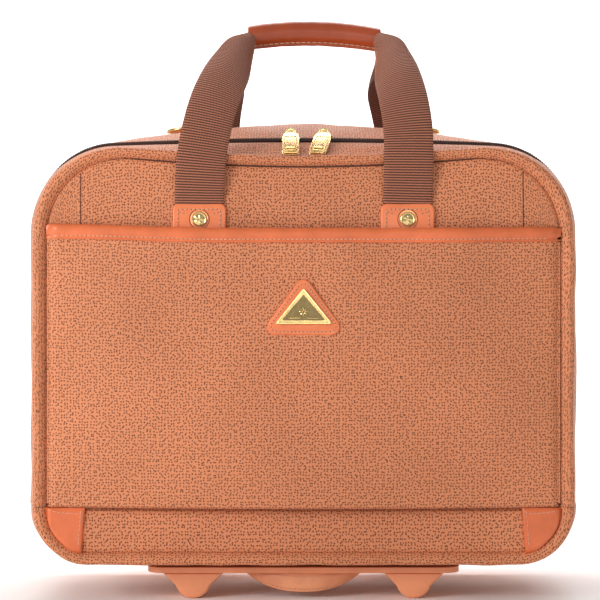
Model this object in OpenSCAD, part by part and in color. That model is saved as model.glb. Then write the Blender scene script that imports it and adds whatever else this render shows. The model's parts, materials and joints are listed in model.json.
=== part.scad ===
// Pilot rolling flight case: a soft-sided wheeled case with a zipped front lid, a front pocket,
// two webbing carry handles, a two-stage pull-up trolley, two wheels and two feet.
// X runs right, Y runs back, Z runs up. The origin is under the middle of the case, on the floor.

/* [Case body] */
// Width over the fabric sides
body_w = 430; // [420:1:440]
// Depth over the front and back panels
body_d = 190; // [188:1:194]
// Height of the fabric underside above the floor
body_z = 25; // [24:1:26]
// Height of the top level at the shoulders
shoulder_z = 350; // [346:1:352]
// Rise of the top's middle above its shoulders
crown_h = 27; // [22:1:28]
// Thickness of the padded fabric walls
wall = 3; // [2.5:0.1:3.5]
// Distance of the zip behind the front panel
zip_back = 45; // [43:1:47]
// Height of the fold where the front lid is hinged
fold_z = 73.2; // [73:0.1:74]

/* [Front pocket] */
// How far the pocket bows out in its middle
pocket_bow = 9; // [8:0.5:10]
// Thickness of the pocket panel
pocket_t = 2.4; // [2:0.1:2.6]
// Height of the pocket's top edge
pocket_top = 288; // [284:1:290]
// Height of the leather trim along the pocket's top edge
trim_h = 11; // [9:1:13]

/* [Carry handles] */
// Distance of each strap from the middle
strap_x = 80; // [78:1:82]
// Width of the webbing
strap_w = 38; // [36:1:39]
// Thickness of the webbing
strap_t = 2.6; // [2:0.1:3]
// Height of the fold above each leather tab
strap_z = 308.2; // [307:0.1:310]
// Sideways lean of the gathered grip
grip_lean = 9; // [0:1:10]
// Length of the leather wrap round the grip
wrap_l = 108; // [100:1:110]

/* [Base and wheels] */
// Distance of each wheel and foot from the middle
wheel_x = 86; // [84:1:90]
// Distance of the wheel axles behind the middle
wheel_y = 79; // [78:1:79]
// Radius of the wheels
wheel_r = 20; // [19.5:0.5:20]
// Width of the tyres
wheel_w = 16; // [14:1:16]
// Radius of the wheel axles
axle_r = 2.95; // [2.95:0.05:3]

/* [Trolley] */
// Distance of each tube from the middle
tube_x = 40; // [39:0.5:40]
// Distance of the tubes behind the middle
tube_y = 83.6; // [83:0.2:84]
// Half the length of the trolley grip
grip_half = 50; // [49:0.5:50]
// Travel of the release button
button_travel = 4; // [3:0.5:4]

/* [Hidden] */
$fn = 64;
e = 0.2;                      // half the gap between the lid and what it closes on
half_w = body_w / 2;
mid_y = 4.6;                  // middle of the case body, which its front badge moves off the origin
front_y = mid_y - body_d / 2;
back_y = mid_y + body_d / 2;
zip_y = front_y + zip_back;
corner_steps = 10;
top_steps = 8;
chamfer_y = 40;               // where the underside starts to rise towards the back
chamfer_slope = 0.754;

fabric = "#c88a62";
leather = "#d8703c";
webbing = "#643c32";
gold = "#d9b860";
dark = "#2c2a2a";
silver = "#b9bcc0";
tan_plastic = "#d58a5c";
lining_tan = "#b79a78";

// ---- body sections ----
function underside(y) = body_z + max(0, y - chamfer_y) * chamfer_slope;

// each station: y, half width, underside, shoulder height, crown, top radius, bottom radius
stations = [
    [front_y, half_w - 15, body_z + 10.4, shoulder_z - 3.5, -9, 70, 37],
    [front_y + 10, half_w - 7, body_z + 5, shoulder_z, -6.5, 68, 42],
    [front_y + 25, half_w - 2, body_z + 1.5, shoulder_z + 1.5, 0, 66, 45],
    [zip_y, half_w, body_z, shoulder_z + 2, 7, 64, 47],
    [-15, half_w, body_z, shoulder_z + 1, crown_h - 7, 64, 47],
    [15, half_w, body_z, shoulder_z, crown_h, 64, 47],
    [chamfer_y, half_w, body_z, shoulder_z - 1, crown_h - 3, 64, 47],
    [61, half_w - 1, underside(61), shoulder_z - 3, crown_h - 8, 65, 47],
    [80, half_w - 5, underside(80), shoulder_z - 6, crown_h - 14, 67, 45],
    [back_y - 3, half_w - 13, underside(back_y - 3), shoulder_z - 10, crown_h - 22, 70, 40],
];
function section(y) = [y, for (k = [1:6]) lookup(y, [for (s = stations) [s[0], s[k]]])];
function span(y0, y1) = concat([section(y0)],
    [for (s = stations) if (s[0] > y0 + 0.5 && s[0] < y1 - 0.5) s], [section(y1)]);

function arc(cx, cz, r, a0, a1, n = corner_steps) =
    [for (i = [0:n]) let (a = a0 + (a1 - a0) * i / n) [cx + r * cos(a), cz + r * sin(a)]];
function clamp01(v) = max(0, min(1, v));
function lifted(s, p) =
    [p[0], p[1] + s[4] * cos(90 * p[0] / s[1]) * clamp01((p[1] - s[3] + s[5]) / s[5])];

// outline of a section, inset by d; "upper" and "lower" are cut at height z, "slotted" is open on top
function outline(s, d, part, z = 0, gap = 0) =
    let (w = s[1] - d, b = s[2] + d, t = s[3] - d, rt = s[5] - d, rb = s[6] - d,
         tr = arc(w - rt, t - rt, rt, 0, 90), tl = arc(rt - w, t - rt, rt, 90, 180),
         bl = arc(rb - w, b + rb, rb, 180, 270), br = arc(w - rb, b + rb, rb, 270, 360),
         top = [for (i = [1:top_steps - 1]) [(w - rt) * (1 - 2 * i / top_steps), t]],
         run = w - rt - gap,
         path = part == "upper" ? concat([[w, z]], tr, top, tl, [[-w, z]])
              : part == "lower" ? concat([[-w, z]], bl, br, [[w, z]])
              : part == "slotted" ? concat([for (i = [0:3]) [-gap - run * i / 4, t]], tl, bl, br, tr,
                                           [for (i = [3:-1:0]) [gap + run * i / 4, t]])
              : concat(tr, top, tl, bl, br))
    [for (p = path) lifted(s, p)];

// a wall of the case from y0 to y1, of thickness t, inset by d
module skin(y0, y1, t, part = "ring", z = 0, gap = 0, d = 0) {
    rings = span(y0, y1);
    m = len(rings);
    n = len(outline(rings[0], d, part, z, gap));
    closed = part == "ring";
    last = closed ? n - 1 : n - 2;
    points = [for (side = [0, 1]) for (s = rings) for (p = outline(s, d + side * t, part, z, gap))
        [p[0], s[0], p[1]]];
    function at(side, k, i) = side * m * n + k * n + i % n;
    walls = [for (k = [0:m - 2]) for (i = [0:last])
        each [[at(0, k, i), at(0, k, i + 1), at(0, k + 1, i + 1)],
              [at(0, k, i), at(0, k + 1, i + 1), at(0, k + 1, i)],
              [at(1, k, i), at(1, k + 1, i + 1), at(1, k, i + 1)],
              [at(1, k, i), at(1, k + 1, i), at(1, k + 1, i + 1)]]];
    rims = [for (i = [0:last])
        each [[at(0, 0, i), at(1, 0, i), at(1, 0, i + 1), at(0, 0, i + 1)],
              [at(0, m - 1, i), at(0, m - 1, i + 1), at(1, m - 1, i + 1), at(1, m - 1, i)]]];
    ends = closed ? [] : [
        concat([for (k = [0:m - 1]) at(0, k, 0)], [for (k = [m - 1:-1:0]) at(1, k, 0)]),
        concat([for (k = [0:m - 1]) at(1, k, n - 1)], [for (k = [m - 1:-1:0]) at(0, k, n - 1)])];
    polyhedron(points, concat(walls, rims, ends));
}

// ---- general shapes ----
// stands a drawing in X and Z up at y0, t thick towards the back
module upright(y0, t) translate([0, y0 + t, 0]) rotate([90, 0, 0]) linear_extrude(t) children();
// runs a drawing in Y and Z along X from x0, l long
module along_x(x0, l) translate([x0, 0, 0]) rotate([90, 0, 90]) linear_extrude(l) children();
module rod_x(x0, l, r) translate([x0, 0, 0]) rotate([0, 90, 0]) cylinder(h = l, r = r);
module rod_y(y0, l, r) translate([0, y0 + l, 0]) rotate([90, 0, 0]) cylinder(h = l, r = r);
module rounded(w, h, r) polygon(concat(
    arc(w / 2 - r, h / 2 - r, r, 0, 90, 6), arc(r - w / 2, h / 2 - r, r, 90, 180, 6),
    arc(r - w / 2, r - h / 2, r, 180, 270, 6), arc(w / 2 - r, r - h / 2, r, 270, 360, 6)));
module both_sides() for (side = [-1, 1]) scale([side, 1, 1]) children();

// ---- case body, fixed ----
gusset_seam = 60.6;
module main_gusset() color(fabric) skin(zip_y + 6, gusset_seam, wall);

slot_half = 57;
module rear_gusset() color(fabric) skin(gusset_seam + e, back_y - 3, wall, "slotted", gap = slot_half);

module lower_gusset() color(fabric) skin(front_y + 3, zip_y + 5.8, wall, "lower", z = fold_z - e);

module lower_front_panel() color(fabric)
    upright(front_y, 2.8) polygon(outline(section(front_y), 0, "lower", fold_z - e));

corner_w = 30;                // width of the leather corners
corner_t = 1.6;
module leather_corners() color(leather) both_sides() upright(front_y - 0.2 - corner_t, corner_t)
    intersection() {
        polygon(outline(section(front_y), 1, "lower", fold_z - e));
        translate([half_w - 15 - corner_w, 0]) square([corner_w, fold_z - 2]);
    }

module zip_tape_rear() color(webbing)
    skin(zip_y + e, zip_y + 5.8, 1.6, "upper", z = fold_z + e, d = 0.6);

module back_panel() color(fabric) upright(back_y - 2.8, 2.8)
    polygon(outline(section(back_y), 0, "ring"));

board_y = back_y - 7.5;
module back_board() color(dark) upright(board_y, 2)
    polygon(outline(section(back_y), 14, "ring"));

lining_t = 0.8;
lining_back = 60.8;
module main_lining() color(lining_tan) skin(zip_y + 7, lining_back - 0.4, lining_t, d = wall + 0.4);

// board between the main compartment and the trolley tubes
cover_top = 333;
module trolley_cover() color(lining_tan) upright(lining_back, lining_t) intersection() {
    polygon(outline(section(lining_back + lining_t), wall + 0.6, "ring"));
    translate([-half_w, 0]) square([body_w, cover_top]);
}

board_z = body_z + wall + 1.6;
module base_board() color(dark) translate([0, (zip_y + chamfer_y) / 2, board_z])
    linear_extrude(2.5) rounded(330, chamfer_y - zip_y - 14, 8);

module laptop_divider() color(lining_tan) upright(34, 8)
    translate([0, 170]) rounded(370, 260, 30);

module file_dividers() color(lining_tan) for (y = [-12, 14]) upright(y, 1.2)
    translate([0, 150]) rounded(366, 220, 20);

// ---- underside ----
plate_z = 20;
plate_t = 4.6;
plate_front = -75;
screw_places = [for (x = [-110, 0, 110]) for (y = [-36, 28]) [x, y]];
module base_plate() color(tan_plastic) difference() {
    translate([0, (plate_front + chamfer_y) / 2, plate_z]) linear_extrude(plate_t)
        rounded(244, chamfer_y - plate_front, 14);
    for (p = screw_places) translate([p[0], p[1], plate_z - 1]) cylinder(h = plate_t + 2, r = 2);
}

module base_screws() color(silver) for (p = screw_places) translate([p[0], p[1], 0]) {
    translate([0, 0, plate_z - 1.6]) cylinder(h = 1.6, r = 4);
    translate([0, 0, plate_z - 0.4]) cylinder(h = plate_t + 0.2, r = 1.95);
}

foot_y = -73.4;               // front of the feet
foot_l = 28;
foot_r = 14;                  // radius of a foot's rounded end
foot_lean = 17;               // slope of a foot's sides from upright
module front_feet() color(tan_plastic) for (side = [-1, 1]) translate([side * wheel_x, 0, 0])
    intersection() {
        upright(foot_y, foot_l) polygon(concat([[23.5, plate_z - e], [-23.5, plate_z - e]],
            arc(0, foot_r - 1, foot_r, 180 + foot_lean, 360 - foot_lean)));
        translate([-30, foot_y - 1, 0]) cube([60, foot_l + 2, plate_z]);
    }

grab_half = 48;
grab_bow = 28;                // how far the grab handle bows forward
grab_back = -45;
grab_low = 5;
grab_t = 4;
function chord_r(half, rise) = (half * half + rise * rise) / (2 * rise);
module bottom_grab_handle() color(leather) {
    r = chord_r(grab_half, grab_bow);
    low_r = chord_r(grab_half, 12);
    intersection() {
        translate([0, grab_back - grab_bow + r, grab_low]) difference() {
            cylinder(h = plate_z - e - grab_low, r = r, $fn = 120);
            translate([0, 0, -1]) cylinder(h = 20, r = r - grab_t, $fn = 120);
        }
        translate([0, 0, grab_low + low_r]) rod_y(-100, 60, low_r, $fn = 160);
        translate([-grab_half, -100, 0]) cube([2 * grab_half, 50, 40]);
    }
}

ear_t = 3;
fork_w = wheel_w + 3;         // width of the space for a wheel
housing_w = fork_w + 2 * ear_t;
module wheel_housing(side) color(tan_plastic) translate([side * wheel_x, 0, 0]) difference() {
    along_x(-housing_w / 2, housing_w) polygon([
        [chamfer_y + 1, plate_z], [chamfer_y + 1, body_z - 0.5], [97, underside(97) - 0.8],
        [back_y, 64], [back_y, 34], [91, 10], [67, 10], [51, plate_z]]);
    translate([0, wheel_y, plate_z]) {
        rod_x(-fork_w / 2, fork_w, wheel_r + 2.5);
        rod_x(-housing_w, 2 * housing_w, axle_r);
    }
}
module wheel_housing_left() wheel_housing(-1);
module wheel_housing_right() wheel_housing(1);

module wheel_axles() color(silver) for (side = [-1, 1])
    translate([side * wheel_x, wheel_y, wheel_r]) rod_x(-housing_w / 2, housing_w, axle_r);

rim_r = 15.5;
bearing_r = 5.5;
bearing_w = 4;
module tyre(side) color(dark) translate([side * wheel_x, wheel_y, wheel_r]) rotate([0, 90, 0])
    rotate_extrude($fn = 96) polygon([
        [rim_r, -wheel_w / 2], [wheel_r - 2, -wheel_w / 2], [wheel_r, 2 - wheel_w / 2],
        [wheel_r, wheel_w / 2 - 2], [wheel_r - 2, wheel_w / 2], [rim_r, wheel_w / 2]]);
module hub(side) color(tan_plastic) translate([side * wheel_x, wheel_y, wheel_r])
    rotate([0, 90, 0]) rotate_extrude($fn = 96) polygon([
        [bearing_r, -wheel_w / 2], [8, -wheel_w / 2], [9, 3 - wheel_w / 2], [13, 3 - wheel_w / 2],
        [14, -wheel_w / 2], [rim_r, -wheel_w / 2], [rim_r, wheel_w / 2], [14, wheel_w / 2],
        [13, wheel_w / 2 - 3], [9, wheel_w / 2 - 3], [8, wheel_w / 2], [bearing_r, wheel_w / 2]]);
module bearings(side) color(silver) translate([side * wheel_x, wheel_y, wheel_r])
    for (x = [-wheel_w / 2, wheel_w / 2 - bearing_w]) difference() {
        rod_x(x, bearing_w, bearing_r);
        rod_x(x - 1, bearing_w + 2, axle_r + 0.05);
    }
module tyre_left() tyre(-1);
module tyre_right() tyre(1);
module hub_left() hub(-1);
module hub_right() hub(1);
module bearings_left() bearings(-1);
module bearings_right() bearings(1);

// ---- front lid ----
module front_panel() color(fabric)
    upright(front_y, 2.8) polygon(outline(section(front_y), 0, "upper", fold_z + e));

module front_gusset() color(fabric)
    skin(front_y + 3, zip_y - 6, wall, "upper", z = fold_z + e);

module zip_tape_front() color(webbing)
    skin(zip_y - 5.8, zip_y - e, 1.6, "upper", z = fold_z + e, d = 0.6);

module lid_board() color(dark) upright(front_y + 4, 1.6)
    polygon(outline(section(front_y), 8, "upper", fold_z + 6));

pocket_half = half_w - 19;
function pocket_y(x, d) = front_y - 0.2 - d - pocket_bow * (1 - pow(x / pocket_half, 2));
pocket_steps = 24;
pocket_xs = [for (i = [0:pocket_steps]) pocket_half * (2 * i / pocket_steps - 1)];
// strip between two depths in front of the pocket's inner face, seen from above
module pocket_strip(d0, d1) polygon(concat([for (x = pocket_xs) [x, pocket_y(x, d1)]],
    [for (i = [pocket_steps:-1:0]) [pocket_xs[i], pocket_y(pocket_xs[i], d0)]]));

trim_z = pocket_top - trim_h;
module front_pocket() color(fabric) {
    translate([0, 0, fold_z + e]) {
        linear_extrude(trim_z - fold_z - 2 * e) pocket_strip(0, pocket_t);
        linear_extrude(2) polygon([for (x = pocket_xs) [x, pocket_y(x, 0.1)]]);
    }
}

module pocket_trim() color(leather) translate([0, 0, trim_z]) linear_extrude(trim_h)
    pocket_strip(0, pocket_t + 1.8);

badge_z = 206;
badge_h = 42;
badge_w = 60;
plate_up = 8;                 // gold plate's base above the patch's base
badge_y = pocket_y(0, pocket_t);
// triangle with rounded corners: w wide, h high, corner radius r
module rounded_triangle(w, h, r) polygon(concat(
    arc(w / 2 - r * 1.4, r, r, -90, 38, 5), arc(0, h - r, r, 38, 142, 5),
    arc(r * 1.4 - w / 2, r, r, 142, 270, 5)));
module badge_patch() color(leather) upright(badge_y - 1.7, 1.6)
    translate([0, badge_z]) rounded_triangle(badge_w, badge_h, 6);
module badge_plate() color(gold) difference() {
    upright(badge_y - 3.7, 1.9) translate([0, badge_z + plate_up]) rounded_triangle(43, 27, 2);
    upright(badge_y - 4, 1) translate([0, badge_z + plate_up + 3]) rounded_triangle(32, 19.5, 1);
}

tab_w = 41;
tab_t = 3.9;
tab_z = [268, 306.3];
rivet_z = 294.5;
rivet_r = 5.5;
// leather tab on a strap's end; face is the panel's face that it lies on, out is -1 at the front
module tabs(out, face) color(leather) for (side = [-1, 1]) translate([side * strap_x, 0, 0])
    difference() {
        upright(min(face + out * 0.2, face + out * (tab_t + 0.2)), tab_t)
            translate([0, (tab_z[0] + tab_z[1]) / 2]) rounded(tab_w, tab_z[1] - tab_z[0], 4);
        translate([0, 0, rivet_z]) rod_y(face - 10, 20, 1.6);
    }
module rivets(out, face) color(gold) for (side = [-1, 1])
    translate([side * strap_x, face + out * 2, rivet_z]) rotate([-out * 90, 0, 0]) {
        cylinder(h = 2.1, r = 1.55);
        translate([0, 0, 2.1]) cylinder(h = 1.2, r = rivet_r);
        translate([0, 0, 3.3]) cylinder(h = 0.8, r1 = rivet_r, r2 = rivet_r - 1.5);
    }
module front_tabs() tabs(-1, front_y);
module front_rivets() rivets(-1, front_y);
module rear_tabs() tabs(1, back_y);
module rear_rivets() rivets(1, back_y);

// ---- carry handles ----
// each step up a strap: inward shift, share of the way back to the grip, height, width, turn, lean
front_steps = [
    [0, 0, strap_z, strap_w, 0, 0],
    [0, 0, 340, strap_w, 2, 0.1],
    [3, 0.04, 364, strap_w, 8, 0.3],
    [7, 0.15, 392, strap_w, 12, 0.6],
    [10, 0.28, 410, strap_w - 2, 22, 0.75],
    [17, 0.59, 429, strap_w - 10, 42, 0.9],
    [20, 0.89, 442, 20, 62, 1],
    [24.8, 1, 448, 17, 90, 1],
];
rear_steps = [
    [0, 0, strap_z, strap_w, 0, 0],
    [0, 0, 340, strap_w, 0, 0],
    [0, 0.04, 366, strap_w, 0, 0],
    [1, 0.15, 394, strap_w, 2, 0],
    [4, 0.28, 412, strap_w - 2, 10, 0.2],
    [14, 0.59, 430, strap_w - 10, 40, 0.8],
    [21, 0.89, 442, 21, 62, 1],
    [25.5, 1, 448, 17, 90, 1],
];
grip_mid = [-2, 16];          // y of the gathered middle of the front and rear straps
strap_front = front_y - 3;
strap_back = back_y + 3;
function unit(v) = v / norm(v);

// webbing band that rises from one tab, gathers at the grip and runs down to the other tab
module webbing_band(steps, y_tab, y_mid) {
    n = len(steps);
    path = [for (side = [-1, 1]) for (j = [0:n - 1])
        let (s = steps[side < 0 ? j : n - 1 - j], x = side * (strap_x - s[0]) + grip_lean * s[5])
        [[x, y_tab + (y_mid - y_tab) * s[1], s[2]], s[3], side < 0 ? s[4] : 180 - s[4]]];
    m = len(path);
    points = [for (i = [0:m - 1])
        let (c = path[i][0], w = path[i][1] / 2, turn = path[i][2],
             t = (strap_t + 3.4 * pow(sin(turn), 4)) / 2,
             along = unit(path[min(i + 1, m - 1)][0] - path[max(i - 1, 0)][0]),
             u = [cos(turn), 0, -sin(turn)], v = unit(cross(along, u)))
        each [c - u * w - v * t, c + u * w - v * t, c + u * w + v * t, c - u * w + v * t]];
    sides = [for (i = [0:m - 2]) for (k = [0:3])
        let (a = 4 * i + k, b = 4 * i + (k + 1) % 4) each [[a, b + 4, b], [a, a + 4, b + 4]]];
    polyhedron(points, concat([[0, 1, 2, 3]], sides, [[4 * m - 1, 4 * m - 2, 4 * m - 3, 4 * m - 4]]));
}
module front_strap() color(webbing) webbing_band(front_steps, strap_front, grip_mid[0]);
module rear_strap() color(webbing) webbing_band(rear_steps, strap_back, grip_mid[1]);

module grip_wrap() color(leather) translate([0, grip_mid[0], 448])
    along_x(grip_lean - wrap_l / 2, wrap_l) difference() {
        rounded(15, 23, 6.5);
        rounded(7.8, 18.8, 1);
    }

// ---- zip sliders and pulls ----
slider_x = [-10, 16];         // resting places of the left and right sliders
slider_l = 14;
slider_z = 361;
pin_up = 5.6;                 // height of the pull's pin over the slider's underside
pull_y = zip_y - 1;
pull_z = slider_z + pin_up;
slope = 29;                   // fall of the front gusset that the pulls lie on
module slider(x) color(gold) translate([x, zip_y, slider_z]) {
    translate([-slider_l / 2, -4.5, 0]) cube([slider_l, 9, 2.4]);
    difference() {
        translate([-2, -4, 2.2]) cube([4, 8, 6]);
        translate([0, pull_y - zip_y, pin_up]) rod_x(-5, 10, 1.5);
    }
}
module slider_left() slider(slider_x[0]);
module slider_right() slider(slider_x[1]);

// a pull: a pin in the slider's bridge, a fork round it, and a leaf with a window
pull_w = 12;
pull_l = 44;
pull_turn = [0, -10];         // turn of each pull's leaf to the side
fork_l = 11;                  // arms reach this far past the pin, into the leaf
leaf_top = 8.3;               // the leaf starts this far below the pin
leaf_hinge = 8;               // the leaf is turned about this point below the pin
module pull(x, turn) color(gold) translate([x, pull_y, pull_z]) rotate([slope, 0, 0]) {
    rod_x(-4.4, 8.8, 1.42);
    for (side = [-1, 1]) translate([side * 3.6 - 1, -fork_l, -1]) cube([2, fork_l, 2]);
    translate([0, -leaf_hinge, 0]) rotate([0, 0, turn]) translate([0, leaf_hinge, 0]) difference() {
        translate([-pull_w / 2, -pull_l, -1.1]) cube([pull_w, pull_l - leaf_top, 2.2]);
        translate([-3, -pull_l + 4, -2]) cube([6, 6, 4]);
    }
}
module pull_left() pull(slider_x[0], pull_turn[0]);
module pull_right() pull(slider_x[1], pull_turn[1]);

// ---- shoulder strap rings ----
ring_x = 98;
ring_y = 25;
ring_z = 373.6;
ring_r = 14;
wire_r = 1.8;
ring_slope = 8;
module at_ring(side) translate([side * ring_x, ring_y, ring_z])
    rotate([0, side * ring_slope, 0]) scale([side, 1, 1]) children();
module d_ring(side) color(gold) at_ring(side) {
    rotate([0, 0, -90]) rotate_extrude(angle = 180) translate([ring_r, 0]) circle(wire_r);
    rod_y(-ring_r, 2 * ring_r, wire_r);
}
module d_ring_left() d_ring(-1);
module d_ring_right() d_ring(1);
module ring_tabs() color(leather) for (side = [-1, 1]) at_ring(side) difference() {
    union() {
        rod_y(-9, 18, 3.2);
        translate([-26, -9, -2.6]) cube([26, 18, 2]);
    }
    rod_y(-12, 24, wire_r + 0.06);
}

// ---- trolley ----
outer = [20, 13];
middle = [17.4, 10.4];
inner = [15, 8];
tube_wall = 0.9;
floor_z = 338;                // underside of the bezel's floor
cup_z = 342;                  // bottom of the cup that holds the grip
collar_top = cup_z + 4.2;
grip_z = collar_top + 0.8;
grip_top = 372;
outer_z = 72;
middle_z = 75;
inner_z = 78;
socket_top = 358;
module at_tubes(z) for (side = [-1, 1]) translate([side * tube_x, tube_y, z]) children();
module tube(size, t, h) linear_extrude(h) difference() {
    rounded(size[0], size[1], 3);
    rounded(size[0] - 2 * t, size[1] - 2 * t, 2.4);
}
module outer_tubes() color(silver) at_tubes(outer_z) tube(outer, 1, floor_z - outer_z - e);
module middle_tubes() color(silver) at_tubes(middle_z)
    tube(middle, tube_wall, collar_top - middle_z);
module inner_tubes() color(silver) difference() {
    at_tubes(inner_z) tube(inner, tube_wall, socket_top - inner_z);
    for (side = [-1, 1]) translate([side * tube_x, tube_y, pin_z])
        rod_x(side < 0 ? -inner[0] : 0, inner[0], pin_r + 0.1);
}
module middle_collars() color(dark) at_tubes(cup_z + e) linear_extrude(4) difference() {
    rounded(22, 15, 4);
    rounded(middle[0] + 0.04, middle[1] + 0.04, 3);
}

bezel_y = [gusset_seam + 0.6, back_y - 3.2];
module trolley_bezel() color(dark) difference() {
    along_x(-slot_half + 0.4, 2 * slot_half - 0.8) polygon([[bezel_y[0], floor_z - 4],
        [bezel_y[1], floor_z - 4], [bezel_y[1], 355], [67, 366.5], [bezel_y[0], 364]]);
    translate([0, tube_y, cup_z]) linear_extrude(40) rounded(2 * grip_half + 4, 19, 5);
    at_tubes(floor_z - 5) linear_extrude(5) rounded(outer[0] + 0.4, outer[1] + 0.4, 3);
    at_tubes(floor_z - 1) linear_extrude(6) rounded(middle[0] + 0.6, middle[1] + 0.6, 3);
}

yoke_z = 364;                 // underside of the bar that joins the push rods
module trolley_grip() color(dark) translate([0, tube_y, 0]) difference() {
    translate([0, 0, grip_z]) linear_extrude(grip_top - grip_z) rounded(2 * grip_half, 16, 6);
    for (side = [-1, 1]) translate([side * tube_x, 0, grip_z - 1])
        linear_extrude(socket_top - grip_z + 1) rounded(inner[0], inner[1], 3);
    translate([-tube_x - 3.5, -3, socket_top - 1]) cube([2 * tube_x + 7, 6, 10]);
    translate([0, 0, yoke_z - button_travel - 1.5]) linear_extrude(20) rounded(32, 10, 3);
}

button_z = yoke_z + 2.6;
module button() color(dark) translate([0, tube_y, button_z])
    linear_extrude(grip_top + 2 - button_z) rounded(31.2, 9.2, 2.8);

rod_z = 99;
module push_rods() color(silver) {
    translate([-tube_x - 3, tube_y - 2.5, yoke_z]) cube([2 * tube_x + 6, 5, 2.4]);
    at_tubes(rod_z) cylinder(h = yoke_z - rod_z + 1, r = 1.5);
}

module button_spring() color(silver) translate([0, tube_y, yoke_z - button_travel - 1.3])
    difference() {
        cylinder(h = button_travel + 1.1, r = 3.4);
        translate([0, 0, -1]) cylinder(h = 8, r = 2.6);
    }

pin_r = 2;
pin_z = 86;
plug_h = 16;
module lock_plugs() color(dark) for (side = [-1, 1]) translate([side * tube_x, tube_y, inner_z + 0.5])
    difference() {
        linear_extrude(plug_h)
            rounded(inner[0] - 2 * tube_wall - 0.2, inner[1] - 2 * tube_wall - 0.2, 2.6);
        translate([0, 0, pin_z - inner_z - 0.5]) rod_x(-10, 20, pin_r + 0.05);
    }
module lock_pin(side) color(silver) translate([side * (tube_x + 1), tube_y, pin_z])
    scale([side, 1, 1]) rod_x(0, 6.3, pin_r);
module lock_pin_left() lock_pin(-1);
module lock_pin_right() lock_pin(1);

main_gusset();
rear_gusset();
lower_gusset();
lower_front_panel();
leather_corners();
zip_tape_rear();
back_panel();
back_board();
main_lining();
trolley_cover();
base_board();
laptop_divider();
file_dividers();
base_plate();
base_screws();
front_feet();
bottom_grab_handle();
wheel_housing_left();
wheel_housing_right();
wheel_axles();
tyre_left();
tyre_right();
hub_left();
hub_right();
bearings_left();
bearings_right();
front_panel();
front_gusset();
zip_tape_front();
lid_board();
front_pocket();
pocket_trim();
badge_patch();
badge_plate();
front_tabs();
front_rivets();
rear_tabs();
rear_rivets();
front_strap();
rear_strap();
grip_wrap();
slider_left();
slider_right();
pull_left();
pull_right();
d_ring_left();
d_ring_right();
ring_tabs();
outer_tubes();
middle_tubes();
middle_collars();
inner_tubes();
trolley_bezel();
trolley_grip();
button();
push_rods();
button_spring();
lock_plugs();
lock_pin_left();
lock_pin_right();
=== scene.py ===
import json
import math

import bmesh
import bpy
import numpy as np
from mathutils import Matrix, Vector


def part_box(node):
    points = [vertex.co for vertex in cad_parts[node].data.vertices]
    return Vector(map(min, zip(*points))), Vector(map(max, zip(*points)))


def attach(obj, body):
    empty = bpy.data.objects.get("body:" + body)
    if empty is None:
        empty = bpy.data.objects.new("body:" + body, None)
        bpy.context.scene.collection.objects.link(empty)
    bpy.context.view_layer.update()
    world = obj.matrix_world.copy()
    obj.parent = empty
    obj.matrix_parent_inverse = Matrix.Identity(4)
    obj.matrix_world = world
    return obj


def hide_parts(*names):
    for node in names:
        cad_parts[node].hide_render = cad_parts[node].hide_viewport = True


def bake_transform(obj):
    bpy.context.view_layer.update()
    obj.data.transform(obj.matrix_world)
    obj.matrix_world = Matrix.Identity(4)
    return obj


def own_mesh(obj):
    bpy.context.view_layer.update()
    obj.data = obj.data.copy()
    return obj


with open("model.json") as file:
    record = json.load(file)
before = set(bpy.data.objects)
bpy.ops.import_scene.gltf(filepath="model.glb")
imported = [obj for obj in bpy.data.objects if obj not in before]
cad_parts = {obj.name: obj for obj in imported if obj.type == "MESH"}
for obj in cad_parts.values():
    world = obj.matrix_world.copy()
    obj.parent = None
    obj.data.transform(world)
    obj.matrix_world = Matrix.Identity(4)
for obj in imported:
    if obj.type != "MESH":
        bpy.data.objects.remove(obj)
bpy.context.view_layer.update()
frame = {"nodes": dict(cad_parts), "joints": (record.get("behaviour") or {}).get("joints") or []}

# ---- sizes, in millimetres, taken from the frame ----
MM = 0.001


def low(node):
    return np.array(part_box(node)[0]) / MM


def high(node):
    return np.array(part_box(node)[1]) / MM


def joint(name):
    return next(j for j in frame["joints"] if j["name"] == name)


HALF_W = high("main_gusset")[0]
BODY_Z = low("main_gusset")[2]
FRONT_Y = low("front_panel")[1]
BACK_Y = high("back_panel")[1]
GUSSET_SEAM = high("main_gusset")[1]
ZIP_Y = FRONT_Y + 45
FOLD_GAP = 0.2
FOLD_Z = high("lower_front_panel")[2] + FOLD_GAP
SHOULDER_Z = BODY_Z + 325
CROWN = 27
CHAMFER_Y = high("base_plate")[1]
CHAMFER_SLOPE = 0.754
POCKET_HALF = high("front_pocket")[0]
POCKET_BOW = 9
POCKET_T = 2.4
TRIM_LOW = low("pocket_trim")[2]
TRIM_H = high("pocket_trim")[2] - TRIM_LOW
POCKET_TOP = TRIM_LOW + TRIM_H
STRAP_X = 80
STRAP_W = 38
STRAP_Z = high("front_tabs")[2] + 1.9
TAB_LOW = low("front_tabs")[2]
TAB_HIGH = high("front_tabs")[2]
TAB_W = 41
TAB_T = 3.7
RIVET_Z = (low("front_rivets")[2] + high("front_rivets")[2]) / 2
WRAP_X = (low("grip_wrap")[0], high("grip_wrap")[0])
GRIP_X, GRIP_Y, GRIP_Z = (low("grip_wrap") + high("grip_wrap")) / 2
NO_LIMIT = 999


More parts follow.
